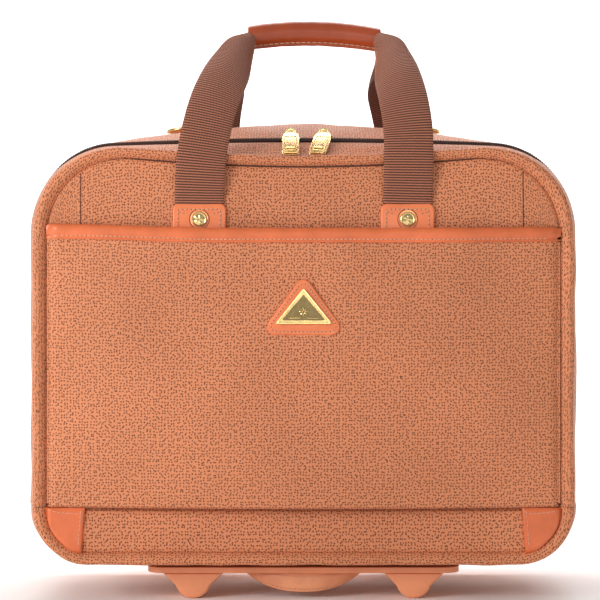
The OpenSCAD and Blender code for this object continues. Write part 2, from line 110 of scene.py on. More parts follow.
# ---- curves ----
def smooth_table(table, at):
    """Rows of a table whose first column is a place, joined by a smooth curve and read at a place."""
    table = np.array(table, float)
    place, value = table[:, 0], table[:, 1:]
    slope = np.gradient(value, place, axis=0)
    at = np.clip(at, place[0], place[-1])
    k = int(np.clip(np.searchsorted(place, at) - 1, 0, len(place) - 2))
    step = place[k + 1] - place[k]
    t = (at - place[k]) / step
    return (
        value[k] * (1 + 2 * t) * (1 - t) ** 2
        + slope[k] * step * t * (1 - t) ** 2
        + value[k + 1] * t * t * (3 - 2 * t)
        + slope[k + 1] * step * t * t * (t - 1)
    )


def ease(value, start, end):
    t = np.clip((np.asarray(value, float) - start) / (end - start), 0, 1)
    return t * t * (3 - 2 * t)


def lengths(points):
    """Distance along a line of points at each of them."""
    steps = np.linalg.norm(np.diff(points, axis=0), axis=1)
    return np.concatenate([[0], np.cumsum(steps)])


def resample(points, places):
    points = np.asarray(points, float)
    along = lengths(points)
    return np.stack([np.interp(places, along, points[:, k]) for k in range(points.shape[1])], 1)


def unit(v):
    v = np.asarray(v, float)
    return v / np.maximum(np.linalg.norm(v, axis=-1, keepdims=True), 1e-9)


def waves(u, v, seed, longest=140.0, count=9):
    """Soft irregular waves, about 1 high, over places given in millimetres."""
    draw = np.random.default_rng(seed)
    total = 0
    for k in range(count):
        length = longest * 0.82**k
        turn = draw.uniform(0, 2 * math.pi)
        start = draw.uniform(0, 2 * math.pi)
        total = total + np.sin((u * math.cos(turn) + v * math.sin(turn)) * 2 * math.pi / length + start)
    return total / math.sqrt(count)


def run(a, b, steps):
    return np.linspace(a, b, steps + 1)


def quarter(cx, cz, r, start):
    """A quarter of a circle, counterclockwise from an angle in degrees."""
    a = np.radians(run(start, start + 90, ARC_STEPS))
    return np.stack([cx + r * np.cos(a), cz + r * np.sin(a)], 1)


def joined(*parts):
    """One line through parts that each start where the one before ends."""
    return np.concatenate([parts[0]] + [part[1:] for part in parts[1:]])


def circle(cx, cz, r, count):
    turn = np.linspace(0, 2 * math.pi, count, endpoint=False)
    return np.stack([cx + r * np.cos(turn), cz + r * np.sin(turn)], 1)


def rounded_loop(w, h, r, cx=0.0, cz=0.0, steps=6):
    """A rounded rectangle, counterclockwise."""
    loop = []
    for sx, sz, a0 in ((1, 1, 0), (-1, 1, 90), (-1, -1, 180), (1, -1, 270)):
        for a in np.radians(run(a0, a0 + 90, steps)):
            loop.append([cx + sx * (w / 2 - r) + r * math.cos(a), cz + sz * (h / 2 - r) + r * math.sin(a)])
    return np.array(loop)


def triangle_loop(w, h, r, z):
    """A triangle with rounded corners that stands on its base."""
    loop = []
    foot = w / 2 - r * 1.4
    for cx, cz, a0, a1 in ((foot, r, -90, 38), (0, h - r, 38, 142), (-foot, r, 142, 270)):
        for a in np.radians(run(a0, a1, 8)):
            loop.append([cx + r * math.cos(a), z + cz + r * math.sin(a)])
    return np.array(loop)


# ---- the case's sections ----
def underside(y):
    return BODY_Z + max(0, y - CHAMFER_Y) * CHAMFER_SLOPE


SEAM_RISE = 4.2  # how much higher the soft front edge stands than its board
ROLL_Y = BACK_Y - 3
# place along Y, half width, underside, shoulder height, crown, top radius, bottom radius
STATIONS = [
    [FRONT_Y, HALF_W - 15, BODY_Z + 10.4, SHOULDER_Z - 3.5 + SEAM_RISE, -13, 70, 37],
    [FRONT_Y + 10, HALF_W - 7, BODY_Z + 5, SHOULDER_Z + SEAM_RISE / 3, -10, 68, 42],
    [FRONT_Y + 25, HALF_W - 2, BODY_Z + 1.5, SHOULDER_Z + 1.5, 0, 66, 45],
    [ZIP_Y, HALF_W, BODY_Z, SHOULDER_Z + 2, 7, 64, 47],
    [-15, HALF_W, BODY_Z, SHOULDER_Z + 1, CROWN - 7, 64, 47],
    [15, HALF_W, BODY_Z, SHOULDER_Z, CROWN, 64, 47],
    [CHAMFER_Y, HALF_W, BODY_Z, SHOULDER_Z - 1, CROWN - 3, 64, 47],
    [61, HALF_W - 1, underside(61), SHOULDER_Z - 3, CROWN - 8, 65, 47],
    [80, HALF_W - 5, underside(80), SHOULDER_Z - 6, CROWN - 14, 67, 45],
    [ROLL_Y, HALF_W - 13, underside(ROLL_Y), SHOULDER_Z - 10, CROWN - 22, 70, 40],
]
SIDE_STEPS = 60
ARC_STEPS = 26
TOP_STEPS = 90


def section(y):
    values = smooth_table(STATIONS, y)
    if y > CHAMFER_Y - 8:
        values[1] = underside(min(y, ROLL_Y))
    return values


def outline(y, outset=0.0, part="ring", gap=0.0):
    """Points of a section in X and Z. The ring starts at the bottom and runs round by the right, the
    upper part runs over the top to the left, the lower part under the bottom to the right, and the
    slotted part leaves a gap in the middle of the top."""
    half, under, shoulder, crown, rt, rb = section(y)
    w, b, t = half + outset, under - outset, shoulder + outset
    rt, rb = rt + outset, rb + outset
    top_right = quarter(w - rt, t - rt, rt, 0)
    top_left = quarter(rt - w, t - rt, rt, 90)
    low_left = quarter(rb - w, b + rb, rb, 180)
    low_right = quarter(w - rb, b + rb, rb, 270)
    right = run([w, b + rb], [w, t - rt], SIDE_STEPS)
    left = run([-w, t - rt], [-w, b + rb], SIDE_STEPS)
    top = run([w - rt, t], [rt - w, t], TOP_STEPS)
    bottom = run([rb - w, b], [w - rb, b], TOP_STEPS)
    if part == "upper":
        fold = FOLD_Z + FOLD_GAP
        points = joined(run([w, fold], [w, t - rt], SIDE_STEPS), top_right, top, top_left,
                        run([-w, t - rt], [-w, fold], SIDE_STEPS))
    elif part == "lower":
        fold = FOLD_Z - FOLD_GAP
        points = joined(run([-w, fold], [-w, b + rb], 2), low_left, bottom, low_right,
                        run([w, b + rb], [w, fold], 2))
    elif part == "slotted":
        points = joined(run([-gap, t], [rt - w, t], TOP_STEPS // 2), top_left, left, low_left, bottom,
                        low_right, right, top_right, run([w - rt, t], [gap, t], TOP_STEPS // 2))
    else:
        points = joined(run([0, b], [w - rb, b], TOP_STEPS // 2), low_right, right, top_right, top,
                        top_left, left, low_left, run([rb - w, b], [0, b], TOP_STEPS // 2))[:-1]
    lift = crown * np.cos(math.pi / 2 * np.clip(points[:, 0] / half, -1, 1))
    points[:, 1] += lift * np.clip((points[:, 1] - shoulder + rt - outset) / (rt - outset), 0, 1)
    return points


def section_line(at, y, outset, part="ring", gap=0.0):
    """The outline of the section at one place along Y, moved to another."""
    return np.insert(outline(at, outset, part, gap), 1, y, axis=1)


# ---- flat drawings in X and Z ----
def lattice(x, z):
    """Flat grid of points from places across and heights: rows run up, columns across."""
    return np.stack(np.broadcast_arrays(x, z), 2).astype(float)


def upright(flat, y):
    """A flat grid stood up at a place along Y, or at one for each point."""
    return np.stack([flat[..., 0], np.broadcast_to(y, flat.shape[:2]), flat[..., 1]], 2)


def facing_front(face):
    """Places a flat drawing in front of a plane, with depth towards the viewer."""
    return lambda p, depth: [p[0], face - depth, p[1]]


def facing_back(face):
    return lambda p, depth: [p[0], face + depth, p[1]]


# ---- mesh making ----
def link(name, data):
    """Puts an object made from its data in the scene."""
    made = bpy.data.objects.new(name, data)
    bpy.context.scene.collection.objects.link(made)
    return made


class Shape:
    """Gathers points, faces and the UV place of each face corner, in millimetres."""

    def __init__(self):
        self.points, self.faces, self.corners, self.count = [], [], [], 0

    def add(self, points, faces, corners):
        self.points.append(points)
        self.faces += (faces + self.count).tolist()
        self.corners += list(corners)
        self.count += len(points)

    def grid(self, rows, uv, wrap=False, flip=False):
        """Quads over rows of points. Returns the number of the first point."""
        m, n = rows.shape[:2]
        i, j = np.meshgrid(np.arange(m - 1), np.arange(n if wrap else n - 1), indexing="ij")
        i, j = i.ravel(), j.ravel()
        near, far = j % n, (j + 1) % n
        faces = np.stack([i * n + near, i * n + far, (i + 1) * n + far, (i + 1) * n + near], 1)
        corners = np.stack([uv[i, j], uv[i, j + 1], uv[i + 1, j + 1], uv[i + 1, j]], 1)
        if flip:
            faces, corners = faces[:, ::-1], corners[:, ::-1]
        self.add(rows.reshape(-1, 3), faces, corners)
        return self.count - m * n

    def cap(self, first, uv, back):
        """One face over points that follow each other."""
        way = -1 if back else 1
        self.faces.append(list(range(first, first + len(uv)))[::way])
        self.corners.append(uv[::way])

    def loft(self, rows, uv=None, back=True, flip=False):
        """A tube over closed rows of points, with a face over each end."""
        m, n = rows.shape[:2]
        uv = arc_uv(rows, True) if uv is None else uv
        first = self.grid(rows, uv, True, flip)
        self.cap(first, uv[0, :n], back)
        self.cap(first + (m - 1) * n, uv[-1, :n], not back)

    def shell(self, outer, inner, wrap=False, flip=False):
        """A closed sheet with thickness between two grids of points."""
        m, n = outer.shape[:2]
        uv = arc_uv(outer, wrap)
        first = self.grid(outer, uv, wrap, flip)
        second = self.grid(inner, uv, wrap, not flip)
        number = np.arange(m * n).reshape(m, n)
        if wrap:
            number = np.concatenate([number, number[:, :1]], 1)
        edges = [(number[0], uv[0], True), (number[-1], uv[-1], False)]
        if not wrap:
            edges += [(number[:, 0], uv[:, 0], False), (number[:, -1], uv[:, -1], True)]
        for line, places, back in edges:
            if back != flip:
                line, places = line[::-1], places[::-1]
            a, b = line[:-1], line[1:]
            self.faces += np.stack([first + a, first + b, second + b, second + a], 1).tolist()
            near, far = places[:-1], places[1:]
            self.corners += list(np.stack([near, far, far, near], 1))

    def tube(self, path, radius, sides=8, closed=False):
        """A round bar along a path. radius may change along it."""
        path = np.asarray(path, float)
        m = len(path)
        if closed:
            along = unit(np.roll(path, -1, 0) - np.roll(path, 1, 0))
        else:
            along = unit(np.gradient(path, axis=0))
        side = unit(np.cross(along[0], [0.3, 0.2, 0.9]))
        turn = circle(0, 0, 1, sides)
        rows = []
        for p, t, r in zip(path, along, np.broadcast_to(radius, (m,))):
            side = unit(side - t * (side @ t))
            rows.append(p + turn @ np.stack([side, np.cross(t, side)]) * r)
        rows = np.array(rows)
        if not closed:
            self.loft(rows, back=False, flip=True)
            return
        uv = arc_uv(np.concatenate([rows, rows[:1]]), True)
        i, j = np.meshgrid(np.arange(m), np.arange(sides), indexing="ij")
        i, j = i.ravel(), j.ravel()
        here, there = i * sides, (i + 1) % m * sides
        nxt = (j + 1) % sides
        faces = np.stack([here + j, there + j, there + nxt, here + nxt], 1)
        self.add(rows.reshape(-1, 3), faces,
                 np.stack([uv[i, j], uv[i + 1, j], uv[i + 1, j + 1], uv[i, j + 1]], 1))

    def prism(self, loop, start, end, bevel, place, steps=3):
        """A bevelled block: a closed loop of flat points pushed from start to end. place turns a flat
        point and a depth into a point."""
        loop = np.asarray(loop, float)
        inward = inward_of(loop)
        turn = run(0, math.pi / 2, steps)
        inset, dip = bevel * (1 - np.sin(turn)), bevel * (1 - np.cos(turn))
        rings = list(zip(inset, start + dip)) + list(zip(inset, end - dip))[::-1]
        rows = np.array([[place(p + d * move, depth) for p, d in zip(loop, inward)]
                         for move, depth in rings])
        round_loop = np.concatenate([loop, loop[:1]])
        self.loft(rows, np.broadcast_to(round_loop, (len(rows), *round_loop.shape)))

    def mesh(self, name):
        made = bpy.data.meshes.new(name)
        made.from_pydata((np.concatenate(self.points) * MM).tolist(), [], self.faces)
        return made

    def finish(self, name, body, material, replaces=(), sharp=40, slot=None, blend=None):
        """Makes the object, which rides on a body, or stays free where it is when blend is given."""
        mesh = self.mesh(name)
        layer = mesh.uv_layers.new(name="UVMap")
        layer.data.foreach_set("uv", (np.concatenate(self.corners) * MM).astype(np.float32).ravel())
        mesh.validate()
        piece = link(name, mesh)
        turn_outward(mesh)
        for polygon in mesh.polygons:
            polygon.use_smooth = True
        mesh.set_sharp_from_angle(angle=math.radians(sharp))
        mesh.materials.append(material)
        if blend:
            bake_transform(piece)
        else:
            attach(piece, body)
        slot or SLOT_OF[material.name]
        if replaces:
            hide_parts(*replaces)
        return piece


def turn_outward(mesh):
    """Turns every face of closed pieces outward."""
    bm = bmesh.new()
    bm.from_mesh(mesh)
    bmesh.ops.recalc_face_normals(bm, faces=bm.faces)
    bm.to_mesh(mesh)
    bm.free()


def arc_uv(rows, wrap=False):
    """UV places of a grid: distance along each row from its middle, and distance across the rows."""
    if wrap:
        rows = np.concatenate([rows, rows[:, :1]], 1)
    along = np.linalg.norm(np.diff(rows, axis=1), axis=2).cumsum(1)
    along = np.concatenate([np.zeros((len(rows), 1)), along], 1)
    along -= along[:, along.shape[1] // 2, None]
    across = np.linalg.norm(np.diff(rows, axis=0), axis=2).mean(1).cumsum()
    across = np.concatenate([[0], across])
    return np.stack([along, np.broadcast_to(across[:, None], along.shape)], 2)


def normals(rows, wrap=False):
    """Direction away from the inside at each point of a grid, for rows that run towards +Y."""
    if wrap:
        around = np.roll(rows, -1, 1) - np.roll(rows, 1, 1)
    else:
        around = np.gradient(rows, axis=1)
    return unit(np.cross(np.gradient(rows, axis=0), around))


def inward_of(loop):
    """Mitred direction into a loop that runs counterclockwise, at each of its points."""
    before, after = unit(loop - np.roll(loop, 1, 0)), unit(np.roll(loop, -1, 0) - loop)
    a = np.stack([-before[:, 1], before[:, 0]], 1)
    b = np.stack([-after[:, 1], after[:, 0]], 1)
    both = unit(a + b)
    return both / np.maximum((both * a).sum(1, keepdims=True), 0.5)


def stitches(shape, path, out, pitch=3.6, length=2.6, radius=0.36, proud=0.25, sink=0.25, holes=None):
    """A row of threads along a path; out is the direction away from the surface. holes gathers the
    needle holes between the threads, as small dark plugs: painted shade inside the holes."""
    path = np.asarray(path, float)
    out = np.broadcast_to(np.asarray(out, float), path.shape)
    along = lengths(path)
    count = max(1, int(along[-1] / pitch))
    begin = (along[-1] - count * pitch + pitch - length) / 2
    height = np.array([-sink, proud * 0.8, proud, proud * 0.8, -sink])[:, None]
    for k in range(count):
        places = begin + k * pitch + np.linspace(0, length, 5)
        away = resample(out, places)
        shape.tube(resample(path, places) + away * height, radius, 5)
        if holes is not None:
            gap = begin + k * pitch - (pitch - length) / 2
            spot = resample(path, [max(gap, 0)])[0]
            holes.tube([spot - away[0] * 0.3, spot, spot + away[0] * 0.08], [0.2, 0.42, 0.3], 6)


# ---- materials ----
class Look:
    """A node material. Values that are the same all over are set on the shader's own sockets."""

    def __init__(self, name, roughness=0.5, metallic=0.0, **sockets):
        self.material = bpy.data.materials.new(name)
        self.material.use_nodes = True
        self.tree = self.material.node_tree
        self.shader = self.tree.nodes["Principled BSDF"]
        for key, value in dict(sockets, Roughness=roughness, Metallic=metallic).items():
            self.shader.inputs[key.replace("_", " ")].default_value = value

    def node(self, kind, inputs=(), **settings):
        made = self.tree.nodes.new(kind)
        for key, value in settings.items():
            setattr(made, key, value)
        for key, value in dict(inputs).items():
            if isinstance(value, bpy.types.NodeSocket):
                self.tree.links.new(value, made.inputs[key])
            else:
                made.inputs[key].default_value = (*value, 1) if isinstance(value, tuple) else value
        return made

    def uv(self):
        return self.node("ShaderNodeTexCoord").outputs["UV"]

    def place(self):
        return self.node("ShaderNodeTexCoord").outputs["Object"]

    def noise(self, vector, scale, detail=2.0, rough=0.5, output="Fac"):
        return self.node("ShaderNodeTexNoise", {"Vector": vector, "Scale": scale, "Detail": detail,
                                                "Roughness": rough}).outputs[output]

    def cells(self, vector, scale, flat=True, random=1.0):
        return self.node("ShaderNodeTexVoronoi", {"Vector": vector, "Scale": scale, "Randomness": random},
                         voronoi_dimensions="2D" if flat else "3D").outputs["Distance"]

    def ramp(self, factor, start, end, a=0.0, b=1.0):
        """Goes from a to b as the factor goes from start to end."""
        made = self.node("ShaderNodeValToRGB", {"Fac": factor})
        for element, place, value in zip(made.color_ramp.elements, (start, end), (a, b)):
            element.position = place
            element.color = (*value, 1) if isinstance(value, tuple) else (value, value, value, 1)
        return made.outputs["Color"]

    def mix(self, factor, a, b, how="MIX"):
        return self.node("ShaderNodeMix", {0: factor, 6: a, 7: b}, data_type="RGBA",
                         blend_type=how).outputs[2]

    def math(self, how, a, b=0.0, c=0.0):
        return self.node("ShaderNodeMath", {0: a, 1: b, 2: c}, operation=how).outputs[0]

    def colour(self, socket):
        self.tree.links.new(socket, self.shader.inputs["Base Color"])

    def roughness(self, socket):
        self.tree.links.new(socket, self.shader.inputs["Roughness"])

    def bump(self, height, strength, distance):
        made = self.node("ShaderNodeBump", {"Height": height, "Strength": strength, "Distance": distance})
        self.tree.links.new(made.outputs[0], self.shader.inputs["Normal"])


def dimmed(tone, share):
    return tuple(c * share for c in tone)


def caviar_fabric():
    """Tan coated fabric, embossed all over with small dark pits."""
    look = Look("caviar_fabric", 0.62, Specular_IOR_Level=0.3, Sheen_Weight=0.16, Sheen_Roughness=0.35)
    uv = look.uv()
    wander = look.noise(uv, 260.0, 1.0, output="Color")
    shift = look.node("ShaderNodeVectorMath", {0: wander, "Scale": 0.0006}, operation="SCALE").outputs[0]
    moved = look.node("ShaderNodeVectorMath", {0: uv, 1: shift}, operation="ADD").outputs[0]
    pit = look.ramp(look.cells(moved, 435.0, random=0.62), 0.15, 0.33, 1.0, 0.0)
    amount = look.math("MULTIPLY", pit, look.ramp(look.noise(uv, 330.0, 1.0), 0.34, 0.6, 0.7))
    cloud = look.ramp(look.noise(uv, 9.0, 3.0), 0.3, 0.72, (0.88, 0.87, 0.86), (1.06, 1.05, 1.04))
    fleck = look.ramp(look.noise(uv, 1500.0, 2.0), 0.3, 0.7, (0.86, 0.85, 0.84), (1.1, 1.1, 1.1))
    tone = look.mix(1.0, look.mix(1.0, (0.76, 0.28, 0.132), cloud, "MULTIPLY"), fleck, "MULTIPLY")
    look.colour(look.mix(amount, tone, (0.095, 0.017, 0.006)))
    look.roughness(look.ramp(amount, 0.0, 1.0, 0.56, 0.8))
    height = look.math("SUBTRACT", look.math("MULTIPLY", look.noise(uv, 1800.0, 2.0), 0.2), amount)
    look.bump(height, 0.55, 0.0004)
    return look.material


def leather(name, tone, rough=0.34):
    """Smooth leather with a fine pebble and a soft shine."""
    look = Look(name, rough, Specular_IOR_Level=0.5, Coat_Weight=0.25, Coat_Roughness=0.22)
    place = look.place()
    grain = look.cells(place, 900.0, flat=False)
    fine = look.noise(place, 1400.0, 3.0)
    cloud = look.noise(place, 28.0, 4.0, 0.6)
    pale = tuple(min(1.0, c * 1.1 + 0.012) for c in tone)
    look.colour(look.mix(look.ramp(cloud, 0.3, 0.7), dimmed(tone, 0.8), pale))
    look.roughness(look.ramp(cloud, 0.3, 0.7, rough + 0.1, rough - 0.05))
    look.bump(look.math("ADD", look.math("MULTIPLY", grain, 0.6), fine), 0.22, 0.00025)
    return look.material


def webbing(name, light, dark):
    """Ribbed webbing, with yarns that slant across each rib. Its colour is painted shade in the hollows
    between ribs and yarns, the webbing's own tone on their tops, mixed with random fuzz.
    """
    look = Look(name, 0.78, Specular_IOR_Level=0.25, Sheen_Weight=0.25, Sheen_Roughness=0.45)
    across, along = look.node("ShaderNodeSeparateXYZ", {"Vector": look.uv()}).outputs[:2]
    rib = look.math("COSINE", look.math("MULTIPLY", along, 2 * math.pi / RIB_PITCH / MM))
    slant = look.math("ADD", look.math("MULTIPLY", across, 5200.0), look.math("MULTIPLY", along, 1500.0))
    yarn = look.math("MULTIPLY", look.math("SINE", slant), 0.22)
    height = look.math("ADD", look.math("MULTIPLY", rib, 0.5), yarn)
    fuzz = look.math("SUBTRACT", look.noise(look.uv(), 1700.0, 3.0, 0.7), 0.5)
    level = look.math("ADD", height, look.math("MULTIPLY", fuzz, 1.1))
    # colour follows rib and yarn height: painted shade in the hollows, plus random fuzz
    look.colour(look.mix(look.ramp(look.math("MULTIPLY_ADD", level, 0.5, 0.5), 0.26, 0.8), dark, light))
    look.bump(level, 0.6, 0.0005)
    return look.material


def woven(name, tone, scale=1300.0, rough=0.8):
    """Plain woven tape, thread or lining."""
    look = Look(name, rough, Specular_IOR_Level=0.25, Sheen_Weight=0.1)
    parts = look.node("ShaderNodeSeparateXYZ", {"Vector": look.uv()})
    warp, weft = [look.math("SINE", look.math("MULTIPLY", parts.outputs[k], scale * 2.4)) for k in (0, 1)]
    weave = look.math("MULTIPLY", warp, weft)
    cloud = look.math("SUBTRACT", look.noise(look.place(), 30.0, 3.0), 0.5)
    level = look.math("ADD", look.math("MULTIPLY_ADD", weave, 0.25, 0.5), cloud)
    look.colour(look.mix(look.ramp(level, 0.1, 0.9), dimmed(tone, 0.6), tone))
    look.bump(weave, 0.35, 0.0003)
    return look.material


def metal(name, tone, rough=0.18, scratch=0.06):
    """Polished or brushed metal with faint wear."""
    look = Look(name, rough, 1.0)
    place = look.place()
    wear = look.noise(place, 220.0, 5.0, 0.65)
    look.colour(look.mix(look.ramp(wear, 0.35, 0.75), tone, dimmed(tone, 0.82)))
    look.roughness(look.ramp(wear, 0.3, 0.8, rough, rough + scratch))
    look.bump(look.noise(place, 900.0, 2.0), 0.05, 0.0002)
    return look.material


def plastic(name, tone, rough=0.45, grain=900.0, relief=0.12):
    """Moulded plastic with a fine spark-eroded grain."""
    look = Look(name, rough, Specular_IOR_Level=0.45)
    place = look.place()
    cloud = look.noise(place, 40.0, 3.0)
    look.colour(look.mix(look.ramp(cloud, 0.3, 0.7), dimmed(tone, 0.86), tone))
    look.roughness(look.ramp(cloud, 0.3, 0.7, rough + 0.08, rough))
    look.bump(look.noise(place, grain, 2.0), relief, 0.0003)
    return look.material


def rubber():
    """Dusty black rubber."""
    look = Look("tyre_rubber", 0.75, Specular_IOR_Level=0.3)
    place = look.place()
    dust = look.ramp(look.noise(place, 120.0, 4.0, 0.7), 0.4, 0.8)
    look.colour(look.mix(dust, (0.022, 0.021, 0.021), (0.06, 0.056, 0.052)))
    look.bump(look.noise(place, 700.0, 3.0), 0.3, 0.0004)
    return look.material


RIB_PITCH = 2.0
FABRIC = caviar_fabric()
LEATHER = leather("tan_leather", (0.80, 0.168, 0.045))
GRIP_LEATHER = leather("grip_leather", (0.40, 0.057, 0.006))
BASE_LEATHER = leather("base_leather", (1.0, 0.38, 0.18), 0.4)
TAB_LEATHER = leather("tab_leather", (1.0, 0.235, 0.078))
# dark plugs for needle holes and dark lines along seams and round rivets: painted shade in holes and creases
HOLE_SHADE = plastic("stitch_hole", (0.13, 0.028, 0.012), 0.8)
THREAD = woven("thread", (1.0, 0.56, 0.36), 4000.0, 0.6)
GRIP_THREAD = woven("grip_thread", (0.9, 0.6, 0.42), 4000.0, 0.6)
# the second colour of each webbing is painted shade for its rib hollows
WEBBING = webbing("brown_webbing", (0.62, 0.228, 0.13), (0.022, 0.006, 0.004))
# the rear strap's webbing is the front webbing at about half its brightness: painted shade on the strap
# behind the front one
SHADED_WEBBING = webbing("rear_webbing", (0.32, 0.115, 0.066), (0.02, 0.006, 0.004))
TAPE = woven("zip_tape", (0.13, 0.05, 0.032))
TEETH = plastic("zip_teeth", (0.085, 0.034, 0.022), 0.35)
GOLD = metal("gold_metal", (0.92, 0.69, 0.31), 0.13)
GOLD_DARK = metal("gold_recess", (0.26, 0.185, 0.08), 0.26)
LINING = woven("lining_fabric", (0.45, 0.31, 0.2), 900.0)
TAN_PLASTIC = plastic("tan_plastic", (1.0, 0.38, 0.185), 0.4, 500.0, 0.08)
BLACK_PLASTIC = plastic("black_plastic", (0.028, 0.027, 0.027), 0.5)
BOARD = plastic("stiff_board", (0.06, 0.055, 0.05), 0.8, 300.0, 0.4)
ALUMINIUM = metal("tube_aluminium", (0.72, 0.73, 0.75), 0.3, 0.1)
STEEL = metal("steel", (0.56, 0.57, 0.58), 0.28, 0.12)
RUBBER = rubber()
SLOT_OF = {material.name: slot for slot, materials in (
    ("caviar_fabric", [FABRIC]),
    ("tan_leather", [LEATHER, GRIP_LEATHER, BASE_LEATHER, TAB_LEATHER, THREAD, GRIP_THREAD, HOLE_SHADE]),
    ("brown_webbing", [WEBBING, SHADED_WEBBING]),
    ("zip_tape", [TAPE, TEETH]),
    ("gold_metal", [GOLD, GOLD_DARK]),
    ("lining_fabric", [LINING]),
    ("tan_plastic", [TAN_PLASTIC]),
    ("steel", [STEEL]),
) for material in materials}


# ---- fabric sides of the case ----
WALL = 2.6
# the rolled edges round the panels: section they follow, place along Y, how far they stand out
FRONT_ROLL = [(FRONT_Y + at, FRONT_Y + y, outset) for at, y, outset in (
    (0, 4.2, -3.4), (0, 1.8, -2.3), (0.1, -0.5, -0.6), (0.5, -2.2, 1.3),
    (1.1, -3.0, 3.0), (2.1, -2.9, 4.4), (3.4, -1.8, 4.8), (4.8, 0.1, 4.2),
    (6.4, 2.5, 3.1), (8.6, 5.6, 2.0), (11.4, 9.4, 1.2), (14.8, 13.6, 0.7))]
BACK_ROLL = [(ROLL_Y - before, BACK_Y + y, outset) for before, y, outset in (
    (9, -9, 0.8), (6.5, -5, 2.6), (4.5, -2.2, 3.4), (2.8, 0.4, 3.2), (1.4, 1.8, 1.8),
    (0.5, 2.0, 0.2), (0, 0.6, -1.4), (0, -1.8, -2.8), (0, -4.2, -3.4))]
ROLL_END = FRONT_Y + 18.9
TROLLEY_GAP = 57.0


def softened(rows, wrap, amount, seed, calm_start=14, calm_end=8):
    """Lets a fabric wall wave in and out a little, least at its seams."""
    uv = arc_uv(rows, wrap)
    if wrap:
        uv = uv[:, :-1]
    u, v = uv[..., 0], uv[..., 1]
    fade = ease(v, 0, calm_start) * ease(v.max() - v, 0, calm_end)
    wave = waves(u, v * 1.6, seed)
    if wrap:
        wave = wave * (1 - ease(np.abs(u), u.max() - 60, u.max() - 8))
    return rows + normals(rows, wrap) * (amount * fade * wave)[..., None]


def steps_between(start, end, pitch, *soft):
    """Stations along Y, with a soft edge at the ends that are named."""
    count = max(2, int(round((end - start) / pitch)))
    places = [(y, 0.0) for y in run(start, end, count)]
    if "start" in soft:
        places[:1] = [(start, -1.5), (start + 0.3, -0.6), (start + 1.0, 0.0)]
    if "end" in soft:
        places[-1:] = [(end - 1.0, 0.0), (end - 0.3, -0.6), (end, -1.5)]
    return [(y, y, outset) for y, outset in places]


def fabric_wall(node, body, part, stations, *wave, gap=0.0):
    wrap = part == "ring"
    rows = np.array([section_line(*station, part, gap) for station in stations])
    rows = softened(rows, wrap, *wave)
    shape = Shape()
    shape.shell(rows, rows - normals(rows, wrap) * WALL, wrap)
    shape.finish(f"{node}_fabric", body, FABRIC, [node], 60)


def make_sides():
    fabric_wall("front_gusset", "front_lid", "upper",
                FRONT_ROLL + steps_between(ROLL_END, ZIP_Y - 5, 4, "end"), 0.5, 11)
    fabric_wall("lower_gusset", "case", "lower",
                FRONT_ROLL + steps_between(ROLL_END, ZIP_Y + 5.6, 4, "end"), 0.3, 12)
    fabric_wall("main_gusset", "case", "ring",
                steps_between(ZIP_Y + 5.2, GUSSET_SEAM - 0.3, 4.5, "start", "end"), 0.35, 13)
    fabric_wall("rear_gusset", "case", "slotted",
                steps_between(GUSSET_SEAM + 0.4, BACK_Y - 16, 4.5, "start") + BACK_ROLL,
                0.6, 14, 8, 16, gap=TROLLEY_GAP)


def make_seam_shadow_cord():
    """A thin dark cord laid in the crease between the front's rolled edge and its panels: painted shadow in
    the seam's gap.
    """
    for part, body in (("upper", "front_lid"), ("lower", "case")):
        shape = Shape()
        shape.tube(section_line(FRONT_Y, FRONT_Y + 2.2, -3.6, part)[::2], 1.0, 8)
        shape.finish(f"front_seam_shadow_{part}", body, TAPE)


# ---- padded panels ----
def edge_distance(flat):
    """Distance of each point of a flat grid from the grid's edge."""
    loop = np.concatenate([flat[0], flat[1:-1, -1], flat[-1, ::-1], flat[-2:0:-1, 0]])
    ahead = np.roll(loop, -1, 0) - loop
    points = flat.reshape(-1, 2)
    best = np.zeros(len(points))
    chunk = 4000
    for start in range(0, len(points), chunk):
        part = points[start:start + chunk, None]
        t = ((part - loop) * ahead).sum(2) / np.maximum((ahead * ahead).sum(1), 1e-9)
        near = loop + np.clip(t, 0, 1)[..., None] * ahead
        best[start:start + chunk] = np.linalg.norm(part - near, axis=2).min(1)
    return best.reshape(flat.shape[:2])


def panel_columns(y, inset, z_low, z_high, count, rows):
    """Flat grid of a panel that fills a section between two heights."""
    half, under, shoulder, crown, rt, rb = section(y)
    w, b, t = half - inset, under + inset, shoulder - inset
    rt, rb = rt - inset, rb - inset
    x = w * np.sin(np.linspace(-math.pi / 2, math.pi / 2, count))
    reach = np.clip(np.abs(x) - (w - rt), 0, rt)
    top = t - rt + np.sqrt(np.maximum(rt**2 - reach**2, 0))
    top += crown * np.cos(math.pi / 2 * x / half) * np.clip((top - shoulder + rt) / rt, 0, 1)
    reach = np.clip(np.abs(x) - (w - rb), 0, rb)
    floor = b + rb - np.sqrt(np.maximum(rb**2 - reach**2, 0))
    low_edge = np.maximum(floor, z_low)
    high_edge = np.maximum(np.minimum(top, z_high), low_edge + 0.02)
    # rows stand closer together near the edges
    v = 0.5 * (0.5 - 0.5 * np.cos(np.linspace(0, math.pi, rows))) + 0.5 * np.linspace(0, 1, rows)
    return lattice(x, low_edge + v[:, None] * (high_edge - low_edge))


def puffed(flat, face, thick, out, puff, drop, seed):
    """Front and back grids of a padded panel: its face stands puff proud and dips at its edges."""
    d = edge_distance(flat)
    depth = puff * ease(d, 0, 26) - drop * (1 - ease(d, 0, 4.5)) ** 1.5
    depth = depth + 0.35 * waves(flat[..., 0], flat[..., 1], seed, 120) * ease(d, 0, 30)
    return upright(flat, face + out * depth), upright(flat, face - out * thick)


